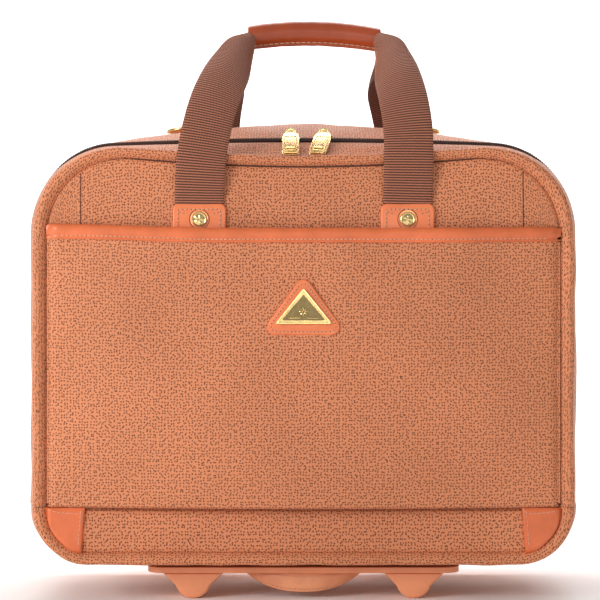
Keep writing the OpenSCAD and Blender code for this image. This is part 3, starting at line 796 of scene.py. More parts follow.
def settled(rows, pressure, growth, cap):
    """Cloth simulation of a grid of fabric that is held round its edge: where it comes to rest."""
    shape = Shape()
    shape.grid(rows, arc_uv(rows))
    trial = link("cloth_trial", shape.mesh("cloth_trial"))
    held = np.ones(rows.shape[:2], bool)
    held[1:-1, 1:-1] = False
    group = trial.vertex_groups.new(name="held")
    group.add([int(i) for i in np.flatnonzero(held.ravel())], 1.0, "ADD")
    modifier = trial.modifiers.new("cloth", "CLOTH")
    cloth = modifier.settings
    cloth.quality = 6
    cloth.mass = 0.25
    cloth.tension_stiffness = cloth.compression_stiffness = 20
    cloth.shear_stiffness = 8
    cloth.bending_stiffness = 2.5
    cloth.vertex_group_mass = "held"
    cloth.use_pressure = True
    cloth.uniform_pressure_force = pressure
    cloth.shrink_min = -growth
    cloth.effector_weights.gravity = 0
    last = 20
    modifier.point_cache.frame_end = last
    for moment in range(1, last + 1):
        bpy.context.scene.frame_set(moment)
    done = trial.evaluated_get(bpy.context.evaluated_depsgraph_get()).to_mesh()
    places = np.zeros(rows.size, np.float32)
    done.vertices.foreach_get("co", places)
    bpy.data.objects.remove(trial)
    bpy.context.scene.frame_set(1)
    moved = places.reshape(rows.shape).astype(float) / MM - rows
    if not np.isfinite(moved).all():
        return rows
    size = np.linalg.norm(moved, axis=2).max()
    return rows + moved * np.minimum(1, cap / np.maximum(size, 1e-6))


def padded_piece(node, body, front, back, sharp=60, fill=0.4, flip=False):
    shape = Shape()
    shape.shell(front, back, flip=flip)
    shape.finish(f"{node}_fabric", body, FABRIC, [node], sharp)


def make_panels():
    flat = panel_columns(FRONT_Y, 0.6, FOLD_Z + 0.3, NO_LIMIT, 130, 70)
    front, back = puffed(flat, FRONT_Y + 0.3, 2.6, -1, 0.9, 3.4, 21)
    front = settled(front, 0.9, 0.004, 1.2)
    padded_piece("front_panel", "front_lid", front, back)
    # the upper panel's two seams are thin dark cords half sunk in its face: painted shade along the seam
    # creases
    seams = Shape()
    for x in (-172, 170):
        column = front[:, np.argmin(np.abs(front[0, :, 0] - x))]
        seen = column[(column[:, 2] > POCKET_TOP - 6) & (column[:, 2] < column[-1, 2] - 3)]
        seams.tube(seen + np.array([0, 0.1, 0]), 0.42, 8)
    seams.finish("upper_panel_seams", "front_lid", HOLE_SHADE, slot="caviar_fabric")

    flat = panel_columns(FRONT_Y, 0.6, 0, FOLD_Z - FOLD_GAP, 130, 24)
    padded_piece("lower_front_panel", "case", *puffed(flat, FRONT_Y + 0.2, 2.5, -1, 1.2, 3.2, 22))

    flat = panel_columns(BACK_Y, 1.0, 0, NO_LIMIT, 120, 90)
    front, back = puffed(flat, BACK_Y - 0.6, 2.3, 1, 1.6, 3.0, 23)
    padded_piece("back_panel", "case", settled(front, 1.2, 0.006, 1.8), back, flip=True)


# ---- front pocket ----
POCKET_COLUMNS = 110
POCKET_ROWS = 60
POCKET_SIDE = POCKET_HALF + 1.6
# the lower edge of the pocket turns under: way back to the case, drop, and the thickness under it
POCKET_LIP = ((8.0, -1.0, 1.4), (5.2, -2.0, 1.8), (2.6, -2.4, 2.0), (0.9, -1.7, 1.6), (0.15, -0.6, 0.8))


def trim_low(x):
    """Height of the trim's lower edge, which rises a little towards the left side."""
    x = np.asarray(x, float)
    return TRIM_LOW - 0.6 + 3.4 * ease(-x, 60, 196) + 0.8 * ease(x, 90, 196)


def pocket_rows():
    x = np.linspace(-POCKET_SIDE, POCKET_SIDE, POCKET_COLUMNS)
    v = np.linspace(0, 1, POCKET_ROWS)[:, None]
    z_low = FOLD_Z + 1.6 + 0.88 * (x / POCKET_SIDE) ** 2
    flat = lattice(x, z_low + v * (trim_low(x) + 3 - z_low))
    share = np.clip(x / POCKET_HALF, -1, 1)
    y = FRONT_Y - 0.2 - POCKET_T - POCKET_BOW * (1 - share**2)
    side = ease(POCKET_SIDE - np.abs(x), 0, 7)
    y = y + 4.6 * (1 - side) ** 2
    y = y - 0.7 * np.sin(math.pi * v) * (1 - (x / POCKET_SIDE) ** 2)
    y -= 0.45 * waves(flat[..., 0], flat[..., 1], 31, 170) * side * ease(v, 0, 0.12)
    return upright(flat, y)


def make_pocket():
    """The pocket. Returns the grid of its face."""
    grid = settled(pocket_rows(), 1.6, 0.008, 2.2)
    lip = []
    for back, down, _ in POCKET_LIP:
        edge = grid[0].copy()
        edge[:, 1] += np.minimum(back, np.maximum(FRONT_Y - 0.6 - edge[:, 1], 0))
        edge[:, 2] += down
        lip.append(edge)
    face = np.concatenate([lip, grid])
    inner = face.copy()
    inner[..., 1] = np.minimum(face[..., 1] + 2.2, FRONT_Y - 0.35)
    inner[:len(lip), :, 2] += np.array([thick for _, _, thick in POCKET_LIP])[:, None]
    padded_piece("front_pocket", "front_lid", face, inner, 70, 0.5)
    return grid


def pocket_y(pocket, x, z):
    """Place along Y of the pocket's face behind a flat point."""
    xs = pocket[0, :, 0]
    j = np.clip(np.interp(x, xs, np.arange(len(xs))), 0, len(xs) - 1.001)
    k = int(j)
    column = pocket[:, k] * (1 - (j - k)) + pocket[:, k + 1] * (j - k)
    return np.interp(z, column[:, 2], column[:, 1])


def make_trim(pocket):
    """Leather binding along the pocket's top edge, with its row of stitches."""
    reach = POCKET_SIDE + 0.4
    x = np.linspace(-reach, reach, 150)
    base = np.array([pocket_y(pocket, v, trim_low(v) + 2) for v in x])
    tuck = (1 - ease(reach - np.abs(x), 0, 6)) ** 2
    wobble = 0.15 * waves(x, x * 0, 41, 60)
    # out from the pocket's face, height over the lower edge
    profile = [(-2.6, 0.6), (0.5, 0.0), (1.15, 0.3), (1.35, 1.1), (1.15, 1.9), (0.95, 2.5), (1.15, 3.1),
               (1.8, 4.4), (2.3, 6.0), (2.4, 7.6), (2.0, 9.2), (1.1, 10.6), (-0.3, TRIM_H + 0.3),
               (-1.8, TRIM_H + 0.2), (-2.6, TRIM_H - 0.8)]
    rows = []
    for out, up in profile:
        y = base - out * (1 - 0.4 * tuck) + 3.0 * tuck
        rows.append(np.stack([x, np.minimum(y, FRONT_Y - 0.5), trim_low(x) + up + wobble], 1))
    shape, thread, holes = Shape(), Shape(), Shape()
    shape.loft(np.swapaxes(rows, 0, 1), back=False)
    shape.finish("pocket_trim_leather", "front_lid", LEATHER, ["pocket_trim"], 50)
    line = np.stack([x, base - 0.95 + 3.0 * tuck, trim_low(x) + 2.5], 1)[4:-4]
    stitches(thread, line, [0, -1, 0], 3.4, 2.3, 0.38, holes=holes)
    thread.finish("pocket_trim_stitches", "front_lid", THREAD)
    holes.finish("pocket_trim_holes", "front_lid", HOLE_SHADE)


# width, height, corner radius, rise and depth of the plate's rings, from its back to its hollow
PLATE_RINGS = [
    (43, 27, 1.2, 0, 0.0), (43, 27, 1.2, 0, 1.6), (42, 26.3, 1.1, 0.35, 2.1),
    (38.4, 24.0, 0.9, 1.2, 2.1), (37.2, 23.2, 0.8, 1.5, 1.0), (36.2, 22.6, 0.8, 1.7, 1.0),
    (35.4, 22.0, 0.7, 1.9, 1.6), (34.0, 21.0, 0.7, 2.3, 1.6), (33.2, 20.4, 0.6, 2.5, 0.8),
]
PETALS = 8


def make_badge(pocket):
    """Leather patch and gold plate with a small flower and a sprig on each side of it."""
    patch_z, plate_z = low("badge_patch")[2], low("badge_plate")[2]
    face = pocket_y(pocket, 0, patch_z + 18) + 0.5
    on_pocket = facing_front(face)
    patch, thread, holes = Shape(), Shape(), Shape()
    patch.prism(triangle_loop(60, 42, 6, patch_z), 0, 2.1, 0.8, on_pocket)
    patch.finish("badge_patch_leather", "front_lid", TAB_LEATHER, ["badge_patch"], 35)
    ring = triangle_loop(53, 36.4, 4.4, patch_z + 2.3)
    ring = np.concatenate([ring, ring[:1]])
    stitches(thread, np.insert(ring, 1, face - 2.12, axis=1), [0, -1, 0], 2.9, 2.0, 0.3, 0.2, 0.2, holes)
    holes.finish("badge_holes", "front_lid", HOLE_SHADE)
    thread.finish("badge_stitches", "front_lid", THREAD)
    plate, field, flower = Shape(), Shape(), Shape()
    plate.loft(np.array([[on_pocket(p, 1.9 + depth) for p in triangle_loop(w, h, r, plate_z + rise)]
                         for w, h, r, rise, depth in PLATE_RINGS]))
    plate.finish("badge_plate_gold", "front_lid", GOLD, ["badge_plate"], 25)
    field.prism(triangle_loop(32.4, 19.6, 0.6, plate_z + 2.9), 2.5, 2.95, 0.1, on_pocket, 1)
    field.finish("badge_field", "front_lid", GOLD_DARK, (), 25)
    middle = plate_z + 9.6
    for a in 2 * math.pi * np.arange(PETALS) / PETALS:
        reach = 1.0 + 0.55 * np.arange(5)
        petal = [on_pocket([r * math.cos(a), middle + r * math.sin(a)], 5.0) for r in reach]
        flower.tube(petal, [0.25, 0.5, 0.62, 0.5, 0.2], 7)
    flower.tube([on_pocket(p, 5.1) for p in circle(0, middle, 1.0, 12)], 0.4, 6, True)
    for side in (-1, 1):
        sprig = [on_pocket([side * (2.2 + 1.7 * k), plate_z + 4.9 - 0.12 * k], 4.95) for k in range(6)]
        flower.tube(sprig, 0.32, 6)
        for root in sprig[1:]:
            tip = [root[0] + side * 0.9, root[1], root[2] + 1.1]
            flower.tube([root, np.add(root, tip) / 2, tip], [0.28, 0.4, 0.12], 5)
    flower.finish("badge_rosette", "front_lid", GOLD)


# ---- leather corners and tabs ----
def make_corners():
    """Leather patches on the lower front corners, cut to the panel's outline."""
    inner = HALF_W - 47
    inset = 1.4
    face = FRONT_Y - 1.35
    half, under, _, _, _, rb = section(FRONT_Y)
    shape, thread = Shape(), Shape()
    for side in (-1, 1):
        x = np.linspace(inner, HALF_W - 16.2, 26)
        reach = np.clip(x - (half - rb), 0, rb - inset)
        floor = under + rb - np.sqrt(np.maximum((rb - inset) ** 2 - reach**2, 0))
        v = np.linspace(0, 1, 16)[:, None]
        z = floor + v * (FOLD_Z - 0.4 - floor)
        lean = 2.6 * (1 - v) * (1 - ease(x, inner, inner + 20))
        flat = lattice(x + lean, z)
        outer_side = 3.2 * (1 - ease(half - 1.0 - np.abs(flat[..., 0]), 0, 5)) ** 2
        low_side = 3.0 * (1 - ease(z - under, 0, 6)) ** 2
        tuck = np.maximum(outer_side, low_side)
        depth = 1.5 * ease(edge_distance(flat), -0.5, 1.4) - tuck
        flat[..., 0] *= side
        shape.shell(upright(flat, face - depth), upright(flat, face + 1.0 + tuck), flip=side < 0)
        inner_seam = flat[2:, 2] + [side * 0.6, 0]
        for seam in (inner_seam, flat[-3, 3:-4]):
            stitches(thread, np.insert(seam, 1, face - 1.5, axis=1), [0, -1, 0], 3.4, 2.4, 0.3)
    shape.finish("leather_corner_patches", "case", LEATHER, ["leather_corners"], 50)
    thread.finish("leather_corner_stitches", "case", THREAD)


def make_tabs(name, body, place, out):
    """Leather tabs that hold the webbing, each with a stitched border and two slanting seams."""
    shape, thread, holes = Shape(), Shape(), Shape()
    middle = (TAB_LOW + TAB_HIGH) / 2
    height = TAB_HIGH - TAB_LOW
    proud = TAB_T + 0.02
    for x in (-STRAP_X, STRAP_X):
        loop = rounded_loop(TAB_W, height, 4.5, x, middle)
        rise = 0.9 * np.cos((loop[:, 0] - x) * math.pi / TAB_W)
        loop[:, 1] += np.where(loop[:, 1] > middle, rise, 0)
        shape.prism(loop, 0, TAB_T, 1.3, place, 4)
        border = rounded_loop(TAB_W - 8.4, height - 8.6, 1.6, x, middle - 0.2, 3)
        border[:, 1] += np.where(border[:, 1] > middle, 0.7 * np.cos((border[:, 0] - x) * 0.075), 0)
        border = np.concatenate([border, border[:1]])
        stitches(thread, [place(p, proud) for p in border], out, 3.3, 2.2, 0.38, holes=holes)
        for slant in (-1, 1):
            start = [x + slant * (TAB_W / 2 - 5.6), TAB_HIGH - 6.4]
            end = [x + slant * 8.6, RIVET_Z + 3.4]
            stitches(thread, [place(p, proud) for p in run(start, end, 4)], out, 3.2, 2.1, 0.38, holes=holes)
        # a thin dark ring round each rivet: painted shade round the rivet
        holes.tube([place(p, proud) for p in circle(x, RIVET_Z, 7.7, 32)], 0.22, 6, True)
    shape.finish(f"{name}_tab_leather", body, TAB_LEATHER, [f"{name}_tabs"], 50)
    thread.finish(f"{name}_tab_stitches", body, THREAD)
    holes.finish(f"{name}_tab_hole_shade", body, HOLE_SHADE)


# radius and height of a rivet's rings, from the middle of its dome to its skirt
RIVET_RINGS = [(0.9, 2.62), (1.9, 2.5), (3.0, 2.3), (3.9, 2.05), (4.3, 1.95), (4.55, 2.15),
               (5.0, 2.3), (5.45, 2.0), (5.6, 1.4), (5.55, 0.6), (5.4, -0.8)]
RIVET_TURNS = 40


def make_rivets(name, body, place):
    """Domed gold rivets with a raised rim and a plain star of ridges."""
    shape = Shape()
    ridges = 0.22 * np.cos(5 * np.linspace(0, 2 * math.pi, RIVET_TURNS, endpoint=False))
    for x in (-STRAP_X, STRAP_X):
        rows = []
        for r, out in RIVET_RINGS:
            star = ridges * ease(r, 0, 1.6) * (1 - ease(r, 3.2, 4.2))
            rows.append([place(p, TAB_T + out - 0.9 + s)
                         for p, s in zip(circle(x, RIVET_Z, r, RIVET_TURNS), star)])
        shape.loft(np.array(rows), back=False)
        shape.tube([place(p, TAB_T + 0.1) for p in circle(x, RIVET_Z, 6.4, 32)], 0.28, 6, True)
    shape.finish(f"{name}_rivets_gold", body, GOLD, [f"{name}_rivets"], 30)


# ---- carry handles ----
# along the strap from its tab: inward shift, share of the way back to the grip, height, turn, lean, curl
FRONT_STRAP = [
    (0, 0, 284, 0, 0, 0.1), (0, 0, 306, 0, 0, 0.1), (0, -0.025, 322, 1, 0.04, 0.14),
    (0.5, -0.04, 340, 2, 0.12, 0.18), (2.5, 0.01, 364, 6, 0.32, 0.26), (7.5, 0.13, 390, 12, 0.5, 0.5),
    (13, 0.29, 408, 22, 0.66, 1.0), (19.5, 0.55, 425, 38, 0.84, 2.0), (25.5, 0.86, 439.5, 62, 1, 3.4),
    (31, 0.99, 446.5, 84, 1, 5.0), (42, 1, 449, 90, 1, 5.8), (60, 1, 450.6, 90, 1, 5.9),
    (80, 1, 451.2, 90, 1, 5.9),
]
REAR_STRAP = [
    (0, 0, 284, 0, 0, 0.1), (0, 0, 306, 0, 0, 0.1), (0.5, -0.025, 322, 0, 0.06, 0.14),
    (0.8, -0.03, 342, 0, 0.25, 0.18), (1, 0.02, 366, 1, 0.44, 0.26), (4.8, 0.14, 393, 3, 0.31, 0.5),
    (9.5, 0.29, 410, 12, 0.25, 1.0), (16, 0.55, 426, 34, 0.4, 2.0), (23, 0.86, 439, 62, 1, 3.4),
    (28, 0.99, 445.5, 84, 1, 5.0), (42, 1, 447.5, 90, 1, 5.8), (60, 1, 448, 90, 1, 5.9),
    (80, 1, 448.2, 90, 1, 5.9),
]
STRAP_COLUMNS = 31


def strap_line(steps, y_tab, y_mid):
    """Places, turns and curls along a whole strap, from the left tab over the grip to the right tab."""
    knots = []
    for side in (-1, 1):
        ordered = steps if side < 0 else steps[-2::-1]
        for shift, share, z, turn, lean, curl in ordered:
            x = side * (STRAP_X - shift) + GRIP_X * lean
            knots.append([x, y_tab + (y_mid - y_tab) * share, z, turn if side < 0 else 180 - turn, curl])
    along = lengths(np.array(knots)[:, :3])
    table = np.column_stack([along, knots])
    places = np.arange(0, along[-1], RIB_PITCH / 4)
    return places, np.array([smooth_table(table, s) for s in places])


def make_strap(name, steps, y_tab, y_mid, out, material, root):
    """Webbing with real ribs, flat at its tabs and curled into a roll where it gathers at the grip."""
    places, line = strap_line(steps, y_tab, y_mid)
    centre, turn, curl = line[:, :3], np.radians(line[:, 3]), line[:, 4]
    along = unit(np.gradient(centre, axis=0))
    across = np.stack([np.cos(turn), np.zeros_like(turn), -np.sin(turn)], 1)
    across = unit(across - along * (across * along).sum(1, keepdims=True))
    away = np.cross(along, across)
    away *= np.sign(away[0, 1]) * out
    share = np.linspace(-1, 1, STRAP_COLUMNS)
    share = np.concatenate([share, share[::-1]])
    face = np.repeat([1, -1], STRAP_COLUMNS)
    edge = 1 - 0.75 * np.abs(share) ** 14
    rib = 0.17 * np.cos(2 * math.pi * places / RIB_PITCH)
    rows = []
    for k in range(len(places)):
        bend = max(curl[k], 0.05)
        radius = STRAP_W / bend
        r = radius + (1.05 + rib[k] * (np.abs(share) < 0.93)) * edge * face
        angle = share * bend / 2
        gather = 1 - 0.36 * ease(bend, 2.6, 4.8)
        flat_x = gather * r * np.sin(angle)
        flat_y = gather * (r * np.cos(angle) - radius * (math.sin(bend / 2) / (bend / 2)))
        rows.append(centre[k] + np.outer(flat_x, across[k]) + np.outer(flat_y, away[k]))
    width = np.append(share, share[0]) * STRAP_W / 2
    shape = Shape()
    shape.loft(np.array(rows), lattice(width, places[:, None]))
    bends = [(0, y_tab * MM, (STRAP_Z + dz) * MM) for dz in (-5, 4)]
    shape.finish(f"{name}_strap_webbing", None, material, [f"{name}_strap"], 60,
                 blend=(root, f"{name}_handle", *bends))


# half of the grip's profile round its middle, from the top to its two stitched edges at the bottom
GRIP_PROFILE = [(0.0, 10.6), (2.6, 10.3), (4.9, 9.0), (6.4, 6.8), (7.1, 3.8), (7.1, 0.6), (6.6, -2.6),
                (5.4, -5.4), (3.6, -7.4), (2.0, -8.4), (1.5, -9.4), (1.4, -10.9), (0.8, -11.4)]
GRIP_T = 1.5


def make_grip():
    """Leather wrapped round the gathered front strap, with its two edges stitched along the bottom."""
    loop = np.array(GRIP_PROFILE + [(-y, z) for y, z in GRIP_PROFILE[-1:0:-1]])
    cut = loop * (1 - GRIP_T / loop.max(0))
    x = np.linspace(*WRAP_X, 70)
    t = (x - GRIP_X) / (WRAP_X[1] - WRAP_X[0]) * 2
    rise = 1.9 - 4.6 * t**2 - 1.0 * t
    squeeze = 1 - 0.05 * np.abs(t) ** 3 - 0.03 * (1 - t**2)
    end_roll = 1 - 0.06 * (1 - ease(1 - np.abs(t), 0, 0.03))
    size = squeeze * end_roll * (1 + 0.012 * waves(x, x * 0, 51, 34))
    outer = [[[a, GRIP_Y + y * s, GRIP_Z + up + z * s * 0.93] for y, z in loop]
             for a, up, s in zip(x, rise, size)]
    inner = [[[a, GRIP_Y + y, GRIP_Z + up + z * 0.9] for y, z in cut] for a, up in zip(x, rise)]
    shape, thread = Shape(), Shape()
    shape.shell(np.array(outer), np.array(inner), True)
    shape.finish("grip_leather_wrap", "front_handle", GRIP_LEATHER, ["grip_wrap"], 50)
    for side in (-1, 1):
        line = np.stack([x, GRIP_Y + side * 2.15 * squeeze, GRIP_Z + rise - 8.35 * 0.93], 1)[1:-1]
        stitches(thread, line, [0, side, -0.4], 4.4, 3.2, 0.36, 0.3, 0.3)
    thread.finish("grip_stitches", "front_handle", GRIP_THREAD)


def make_handles():
    make_strap("front", FRONT_STRAP, FRONT_Y - 2.6, GRIP_Y, -1, WEBBING, "front_lid")
    make_strap("rear", REAR_STRAP, BACK_Y + 2.6, GRIP_Y + 18, 1, SHADED_WEBBING, "case")
    make_grip()


# ---- zip ----
TOOTH_PITCH = 2.0


def make_zip():
    """Woven tapes with a row of teeth on each, that meet along the top and sides."""
    for name, body, way, far in (("front", "front_lid", -1, ZIP_Y - 7), ("rear", "case", 1, ZIP_Y + 7.5)):
        edge = ZIP_Y + way * 0.9
        tape = [section_line(y, y, outset, "upper")
                for y, outset in ((edge, -0.5), ((edge + far) / 2, -1.2), (far, -2.2))]
        rows = np.array(tape[::way])
        shape = Shape()
        shape.shell(rows, rows - normals(rows) * 0.6)
        shape.finish(f"zip_tape_{name}_cloth", body, TAPE, [f"zip_tape_{name}"], 60)
        teeth = Shape()
        line = section_line(ZIP_Y, ZIP_Y, -1.4, "upper")
        line[:, 2] += 2.2 * ease(line[:, 2], SHOULDER_Z - 40, SHOULDER_Z - 4)
        total = lengths(line)[-1]
        start = 0.6 if way < 0 else 0.6 + TOOTH_PITCH / 2
        near, tip = np.array([0, way * 2.4, 0]), np.array([0, -way * 0.1, 0])
        for s in start + TOOTH_PITCH * np.arange(int(total / TOOTH_PITCH)):
            if s > total - 0.8:
                continue
            p, q = resample(line, [s - 0.3, s + 0.3])
            ahead = unit(q - p)
            up = np.cross(ahead, [0, 1, 0])
            middle = (p + q) / 2
            loop = middle + np.array([ahead * a * 0.62 + up * b * 1.3
                                      for a, b in ((-1, -1), (1, -1), (1, 1), (-1, 1))])
            ring = np.array([loop + near, loop + (near + tip) / 2, middle + (loop - middle) * 0.75 + tip])
            first = teeth.grid(ring, arc_uv(ring, True), True)
            teeth.cap(first, np.zeros((4, 2)), True)
            teeth.cap(first + 8, np.zeros((4, 2)), False)
        teeth.finish(f"zip_teeth_{name}", body, TEETH, (), 30)


def hanging(origin, slope):
    """Places points given along a pull: right, down its length, and out from its face."""
    down = np.array([0, -math.cos(slope), -math.sin(slope)])
    right = np.array([1, 0, 0])
    out = np.cross(right, down)
    out = out * np.sign(out[2])
    return lambda p, depth: origin + right * p[0] + down * p[1] + out * depth


# half of a slider's plate, seen from above
WEDGE = [(-7, -3.4), (-4.5, -4.6), (4, -4.4), (7, -2.6), (7, 2.6), (4, 4.4), (-4.5, 4.6), (-7, 3.4)]


def make_slider(name, side):
    slider = f"slider_{name}"
    base = low(slider)
    x, z = (base[0] + high(slider)[0]) / 2, base[2]
    wedge = np.array(WEDGE)[::side] * [side, 1]
    shape = Shape()

    def flat(p, depth):
        return [x + p[0], ZIP_Y + p[1], z + depth]

    shape.prism(wedge, 0, 1.5, 0.5, flat)
    shape.prism(wedge * 0.94, 1.5, 2.6, 0.5, flat)
    shape.tube([flat([side * (9.2 * t - 4.6), -1], 2.2 + 4.6 * math.sin(math.pi * t) ** 0.7)
                for t in np.linspace(0.02, 0.98, 15)], 1.25, 10)
    shape.finish(f"{slider}_brass", f"zip_slider_{name}", GOLD, [slider], 35)


PULL_SLOPE = 29
PULL_TURN = {"left": 0, "right": -10}
PULL_FORK = 8  # from the pin to the point a leaf turns about
LEAF = [(-5.2, 8.4), (-6.2, 14), (-6.2, 39), (-4.6, 43.6), (4.6, 43.6), (6.2, 39), (6.2, 14),
        (5.2, 8.4), (3.4, 5.0), (-3.4, 5.0)]
LEAF_RIM = [(-4.6, 13.5), (4.6, 13.5), (5.0, 38), (3.8, 41.8), (-3.8, 41.8), (-5.0, 38)]


def make_pull(name):
    """A pull with a polished face, a stepped window near its lower end and a loop at its pin."""
    origin = np.array(joint(f"pull_{name}_swing")["pos_m"]) / MM
    straight = hanging(origin, math.radians(PULL_SLOPE))
    turn = math.radians(PULL_TURN[name])

    def place(p, depth):
        x, down = p[0], p[1] - PULL_FORK
        return straight([x * math.cos(turn) + down * math.sin(turn),
                         PULL_FORK + down * math.cos(turn) - x * math.sin(turn)], depth)

    def bar(shape, w, h, r, z, *depths):
        shape.prism(rounded_loop(w, h, r, 0, z, 3), *depths)

    shape, window = Shape(), Shape()
    shape.prism(LEAF, -1.0, 0.9, 0.45, place)
    shape.tube([place(p, 1.0) for p in LEAF_RIM], 0.42, 8, True)
    bar(shape, 7.2, 4.2, 0.8, 34.4, 0.7, 2.0, 0.5, place, 3)
    bar(shape, 6.6, 1.5, 0.4, 39.4, 0.7, 1.6, 0.35, place, 2)
    for side in (-1, 1):
        shape.tube([straight([side * 3.1, 7.4 - 8.2 * t], 0.9 * math.sin(math.pi * t) - 0.1)
                    for t in np.linspace(0, 1, 7)], 0.95, 8)
    shape.tube([straight([x, 0], 0) for x in np.linspace(-4.1, 4.1, 5)], 1.25, 10)
    shape.finish(f"pull_{name}_gold", f"zip_pull_{name}", GOLD, [f"pull_{name}"], 35)
    bar(window, 8.0, 2.6, 0.5, 30.6, 0.86, 0.98, 0.05, place, 1)
    bar(window, 7.4, 0.9, 0.3, 37.6, 0.86, 0.98, 0.05, place, 1)
    window.finish(f"pull_{name}_recess", f"zip_pull_{name}", GOLD_DARK, (), 35)


# ---- inside ----
INNER_HALF = 183
COVER_Y = 60.9


def backing_cloth(name, body, flat, y, nodes):
    """A thin cloth stretched over something flat."""
    shape = Shape()
    shape.shell(upright(flat, y), upright(flat, y + 0.6))
    cloth = shape.finish(name, body, LINING, nodes, 60)


def make_lining():
    stations = [(y, y, -3.6) for y in np.linspace(ZIP_Y + 7.2, 60.2, 12)]
    rows = softened(np.array([section_line(*station) for station in stations]), True, 0.5, 61, 10, 10)
    shape = Shape()
    shape.shell(rows, rows - normals(rows, True) * 0.6, True)
    lining = shape.finish("main_lining_cloth", "case", LINING, ["main_lining"], 60)
    depth = lengths(rows[:, 0])[-1]
    around = lengths(np.concatenate([rows[5], rows[5][:1]]))[-1]


def make_dividers():
    pad, thread = Shape(), Shape()
    faces = (34.3, 41.7)
    pad.prism(rounded_loop(368, 258, 30, 0, 170, 10), *faces, 3.4, facing_back(0), 5)
    divider = pad.finish("laptop_divider_pad", "case", LINING, ["laptop_divider"], 60)
    for z in (110, 170, 230):
        for y, way in zip(faces, (-1, 1)):
            stitches(thread, [[x, y, z] for x in np.linspace(-178, 178, 60)], [0, way, 0], 5, 3.6, 0.4)
    thread.finish("laptop_divider_stitches", "case", TAPE, slot="lining_fabric")

    flat = lattice(np.linspace(-INNER_HALF, INNER_HALF, 60), np.linspace(40, 260, 36)[:, None])
    for k, y in enumerate((-12, 14)):
        sway = 1.2 * waves(flat[..., 0], flat[..., 1], 71 + k, 160)
        rows = upright(flat, y + 0.6 + sway * 0.5)
        sheet, binding = Shape(), Shape()
        sheet.shell(rows, rows + np.array([0, 0.9, 0]))
        stands = ["file_dividers"] if k == 0 else []
        divider = sheet.finish(f"file_divider_{k + 1}", "case", LINING, stands, 60)
        binding.tube((rows[-1] + np.array([0, 0.45, 0]))[::2], 1.5, 8)
        binding.finish(f"file_divider_{k + 1}_binding", "case", TAPE)


def make_fold_strip():
    """Webbing strip inside the fold of the lid, sewn to both sides of it."""
    x = np.linspace(-INNER_HALF, INNER_HALF, 80)
    z = np.linspace(FOLD_Z - 13, FOLD_Z + 13, 27)[:, None]
    shape = Shape()
    shape.shell(upright(lattice(x, z), FRONT_Y + 3.3), upright(lattice(x, z), FRONT_Y + 4.0))
    bends = [(0, FRONT_Y * MM, (FOLD_Z + dz) * MM) for dz in (-5, 5)]
    shape.finish("lid_fold_strip", None, TAPE, (), 60, blend=("case", "front_lid", *bends))


def make_inside():
    make_lining()
    make_dividers()
    backing_cloth("lid_lining_cloth", "front_lid", panel_columns(FRONT_Y, 8, FOLD_Z + 6, NO_LIMIT, 90, 30),
                  FRONT_Y + 5.7, ())
    top = high("trolley_cover")[2] - 1
    backing_cloth("trolley_cover_cloth", "case", panel_columns(COVER_Y - 0.1, 4.4, 0, top, 90, 40),
                  COVER_Y, ["trolley_cover"])
    make_fold_strip()


# ---- release button's spring ----
SPRING_WIRE = 0.4
SPRING_TURNS = 6


def make_spring():
    """Wound spring under the release button."""
    lo, hi = low("button_spring"), high("button_spring")
    x, y, _ = (lo + hi) / 2
    radius = (hi[0] - lo[0]) / 2 - SPRING_WIRE
    turn = np.linspace(0, 2 * math.pi * SPRING_TURNS, SPRING_TURNS * 24 + 1)
    height = np.linspace(lo[2] + SPRING_WIRE, hi[2] - SPRING_WIRE, len(turn))
    shape = Shape()
    shape.tube(np.stack([x + radius * np.cos(turn), y + radius * np.sin(turn), height], 1), SPRING_WIRE, 8)
    spring = shape.finish("button_spring_coil", "trolley_top", STEEL, ["button_spring"], 60)
    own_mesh(spring)


# ---- underside ----
# half of the grab handle's section: share of its width, share of its height
GRAB_PROFILE = [(0.0, 0.0), (0.55, 0.02), (0.9, 0.16), (1.0, 0.4), (1.0, 0.7), (0.9, 0.9),
                (0.55, 0.99), (0.0, 1.0)]
GRAB_T = 2.1


def make_grab_handle():
    """Crescent strap handle under the front edge, for lifting the case flat."""
    lo, hi = low("bottom_grab_handle"), high("bottom_grab_handle")
    profile = GRAB_PROFILE + [(-u, v) for u, v in GRAB_PROFILE[-2:0:-1]]
    bow = hi[1] - lo[1] - 4
    a = np.linspace(-1, 1, 60)
    x = a * hi[0]
    y = hi[1] - 2 - bow * (1 - a**2)
    drop = 2.0 + (hi[2] - lo[2] - 2) * (1 - np.abs(a) ** 2.6)
    side = unit(np.stack([-2 * a * bow / hi[0], np.ones(len(a))], 1)) * GRAB_T
    rows = [[[x[k] + side[k, 0] * u, y[k] + side[k, 1] * u, hi[2] - drop[k] + v * drop[k]]
             for u, v in profile] for k in range(len(a))]
    shape, thread = Shape(), Shape()
    shape.loft(np.array(rows))
    shape.finish("bottom_grab_leather", "case", BASE_LEATHER, ["bottom_grab_handle"], 50)
    for share in (0.16, 0.84):
        line = np.stack([x, y - 2.2, hi[2] - drop + share * drop], 1)[8:-8]
        stitches(thread, line, [0, -1, 0], 3.6, 2.5, 0.3)
    thread.finish("bottom_grab_stitches", "case", THREAD)


FOOT_X = 86
FOOT_R = 14
FOOT_HALF = 23.3


def make_feet():
    """Moulded feet with a soft edge: rounded below and wide where they meet the base."""
    lo, hi = low("front_feet"), high("front_feet")
    shape = Shape()
    for middle in (-FOOT_X, FOOT_X):
        loop = [[middle + FOOT_HALF, hi[2]], [middle - FOOT_HALF, hi[2]]]
        for a in np.radians(run(197, 343, 18)):
            loop.append([middle + FOOT_R * math.cos(a), FOOT_R + FOOT_R * math.sin(a)])
        shape.prism(loop, lo[1], hi[1], 2.2, lambda p, depth: [p[0], depth, max(p[1], 0)], 4)
    shape.finish("front_feet_moulded", "case", TAN_PLASTIC, ["front_feet"])


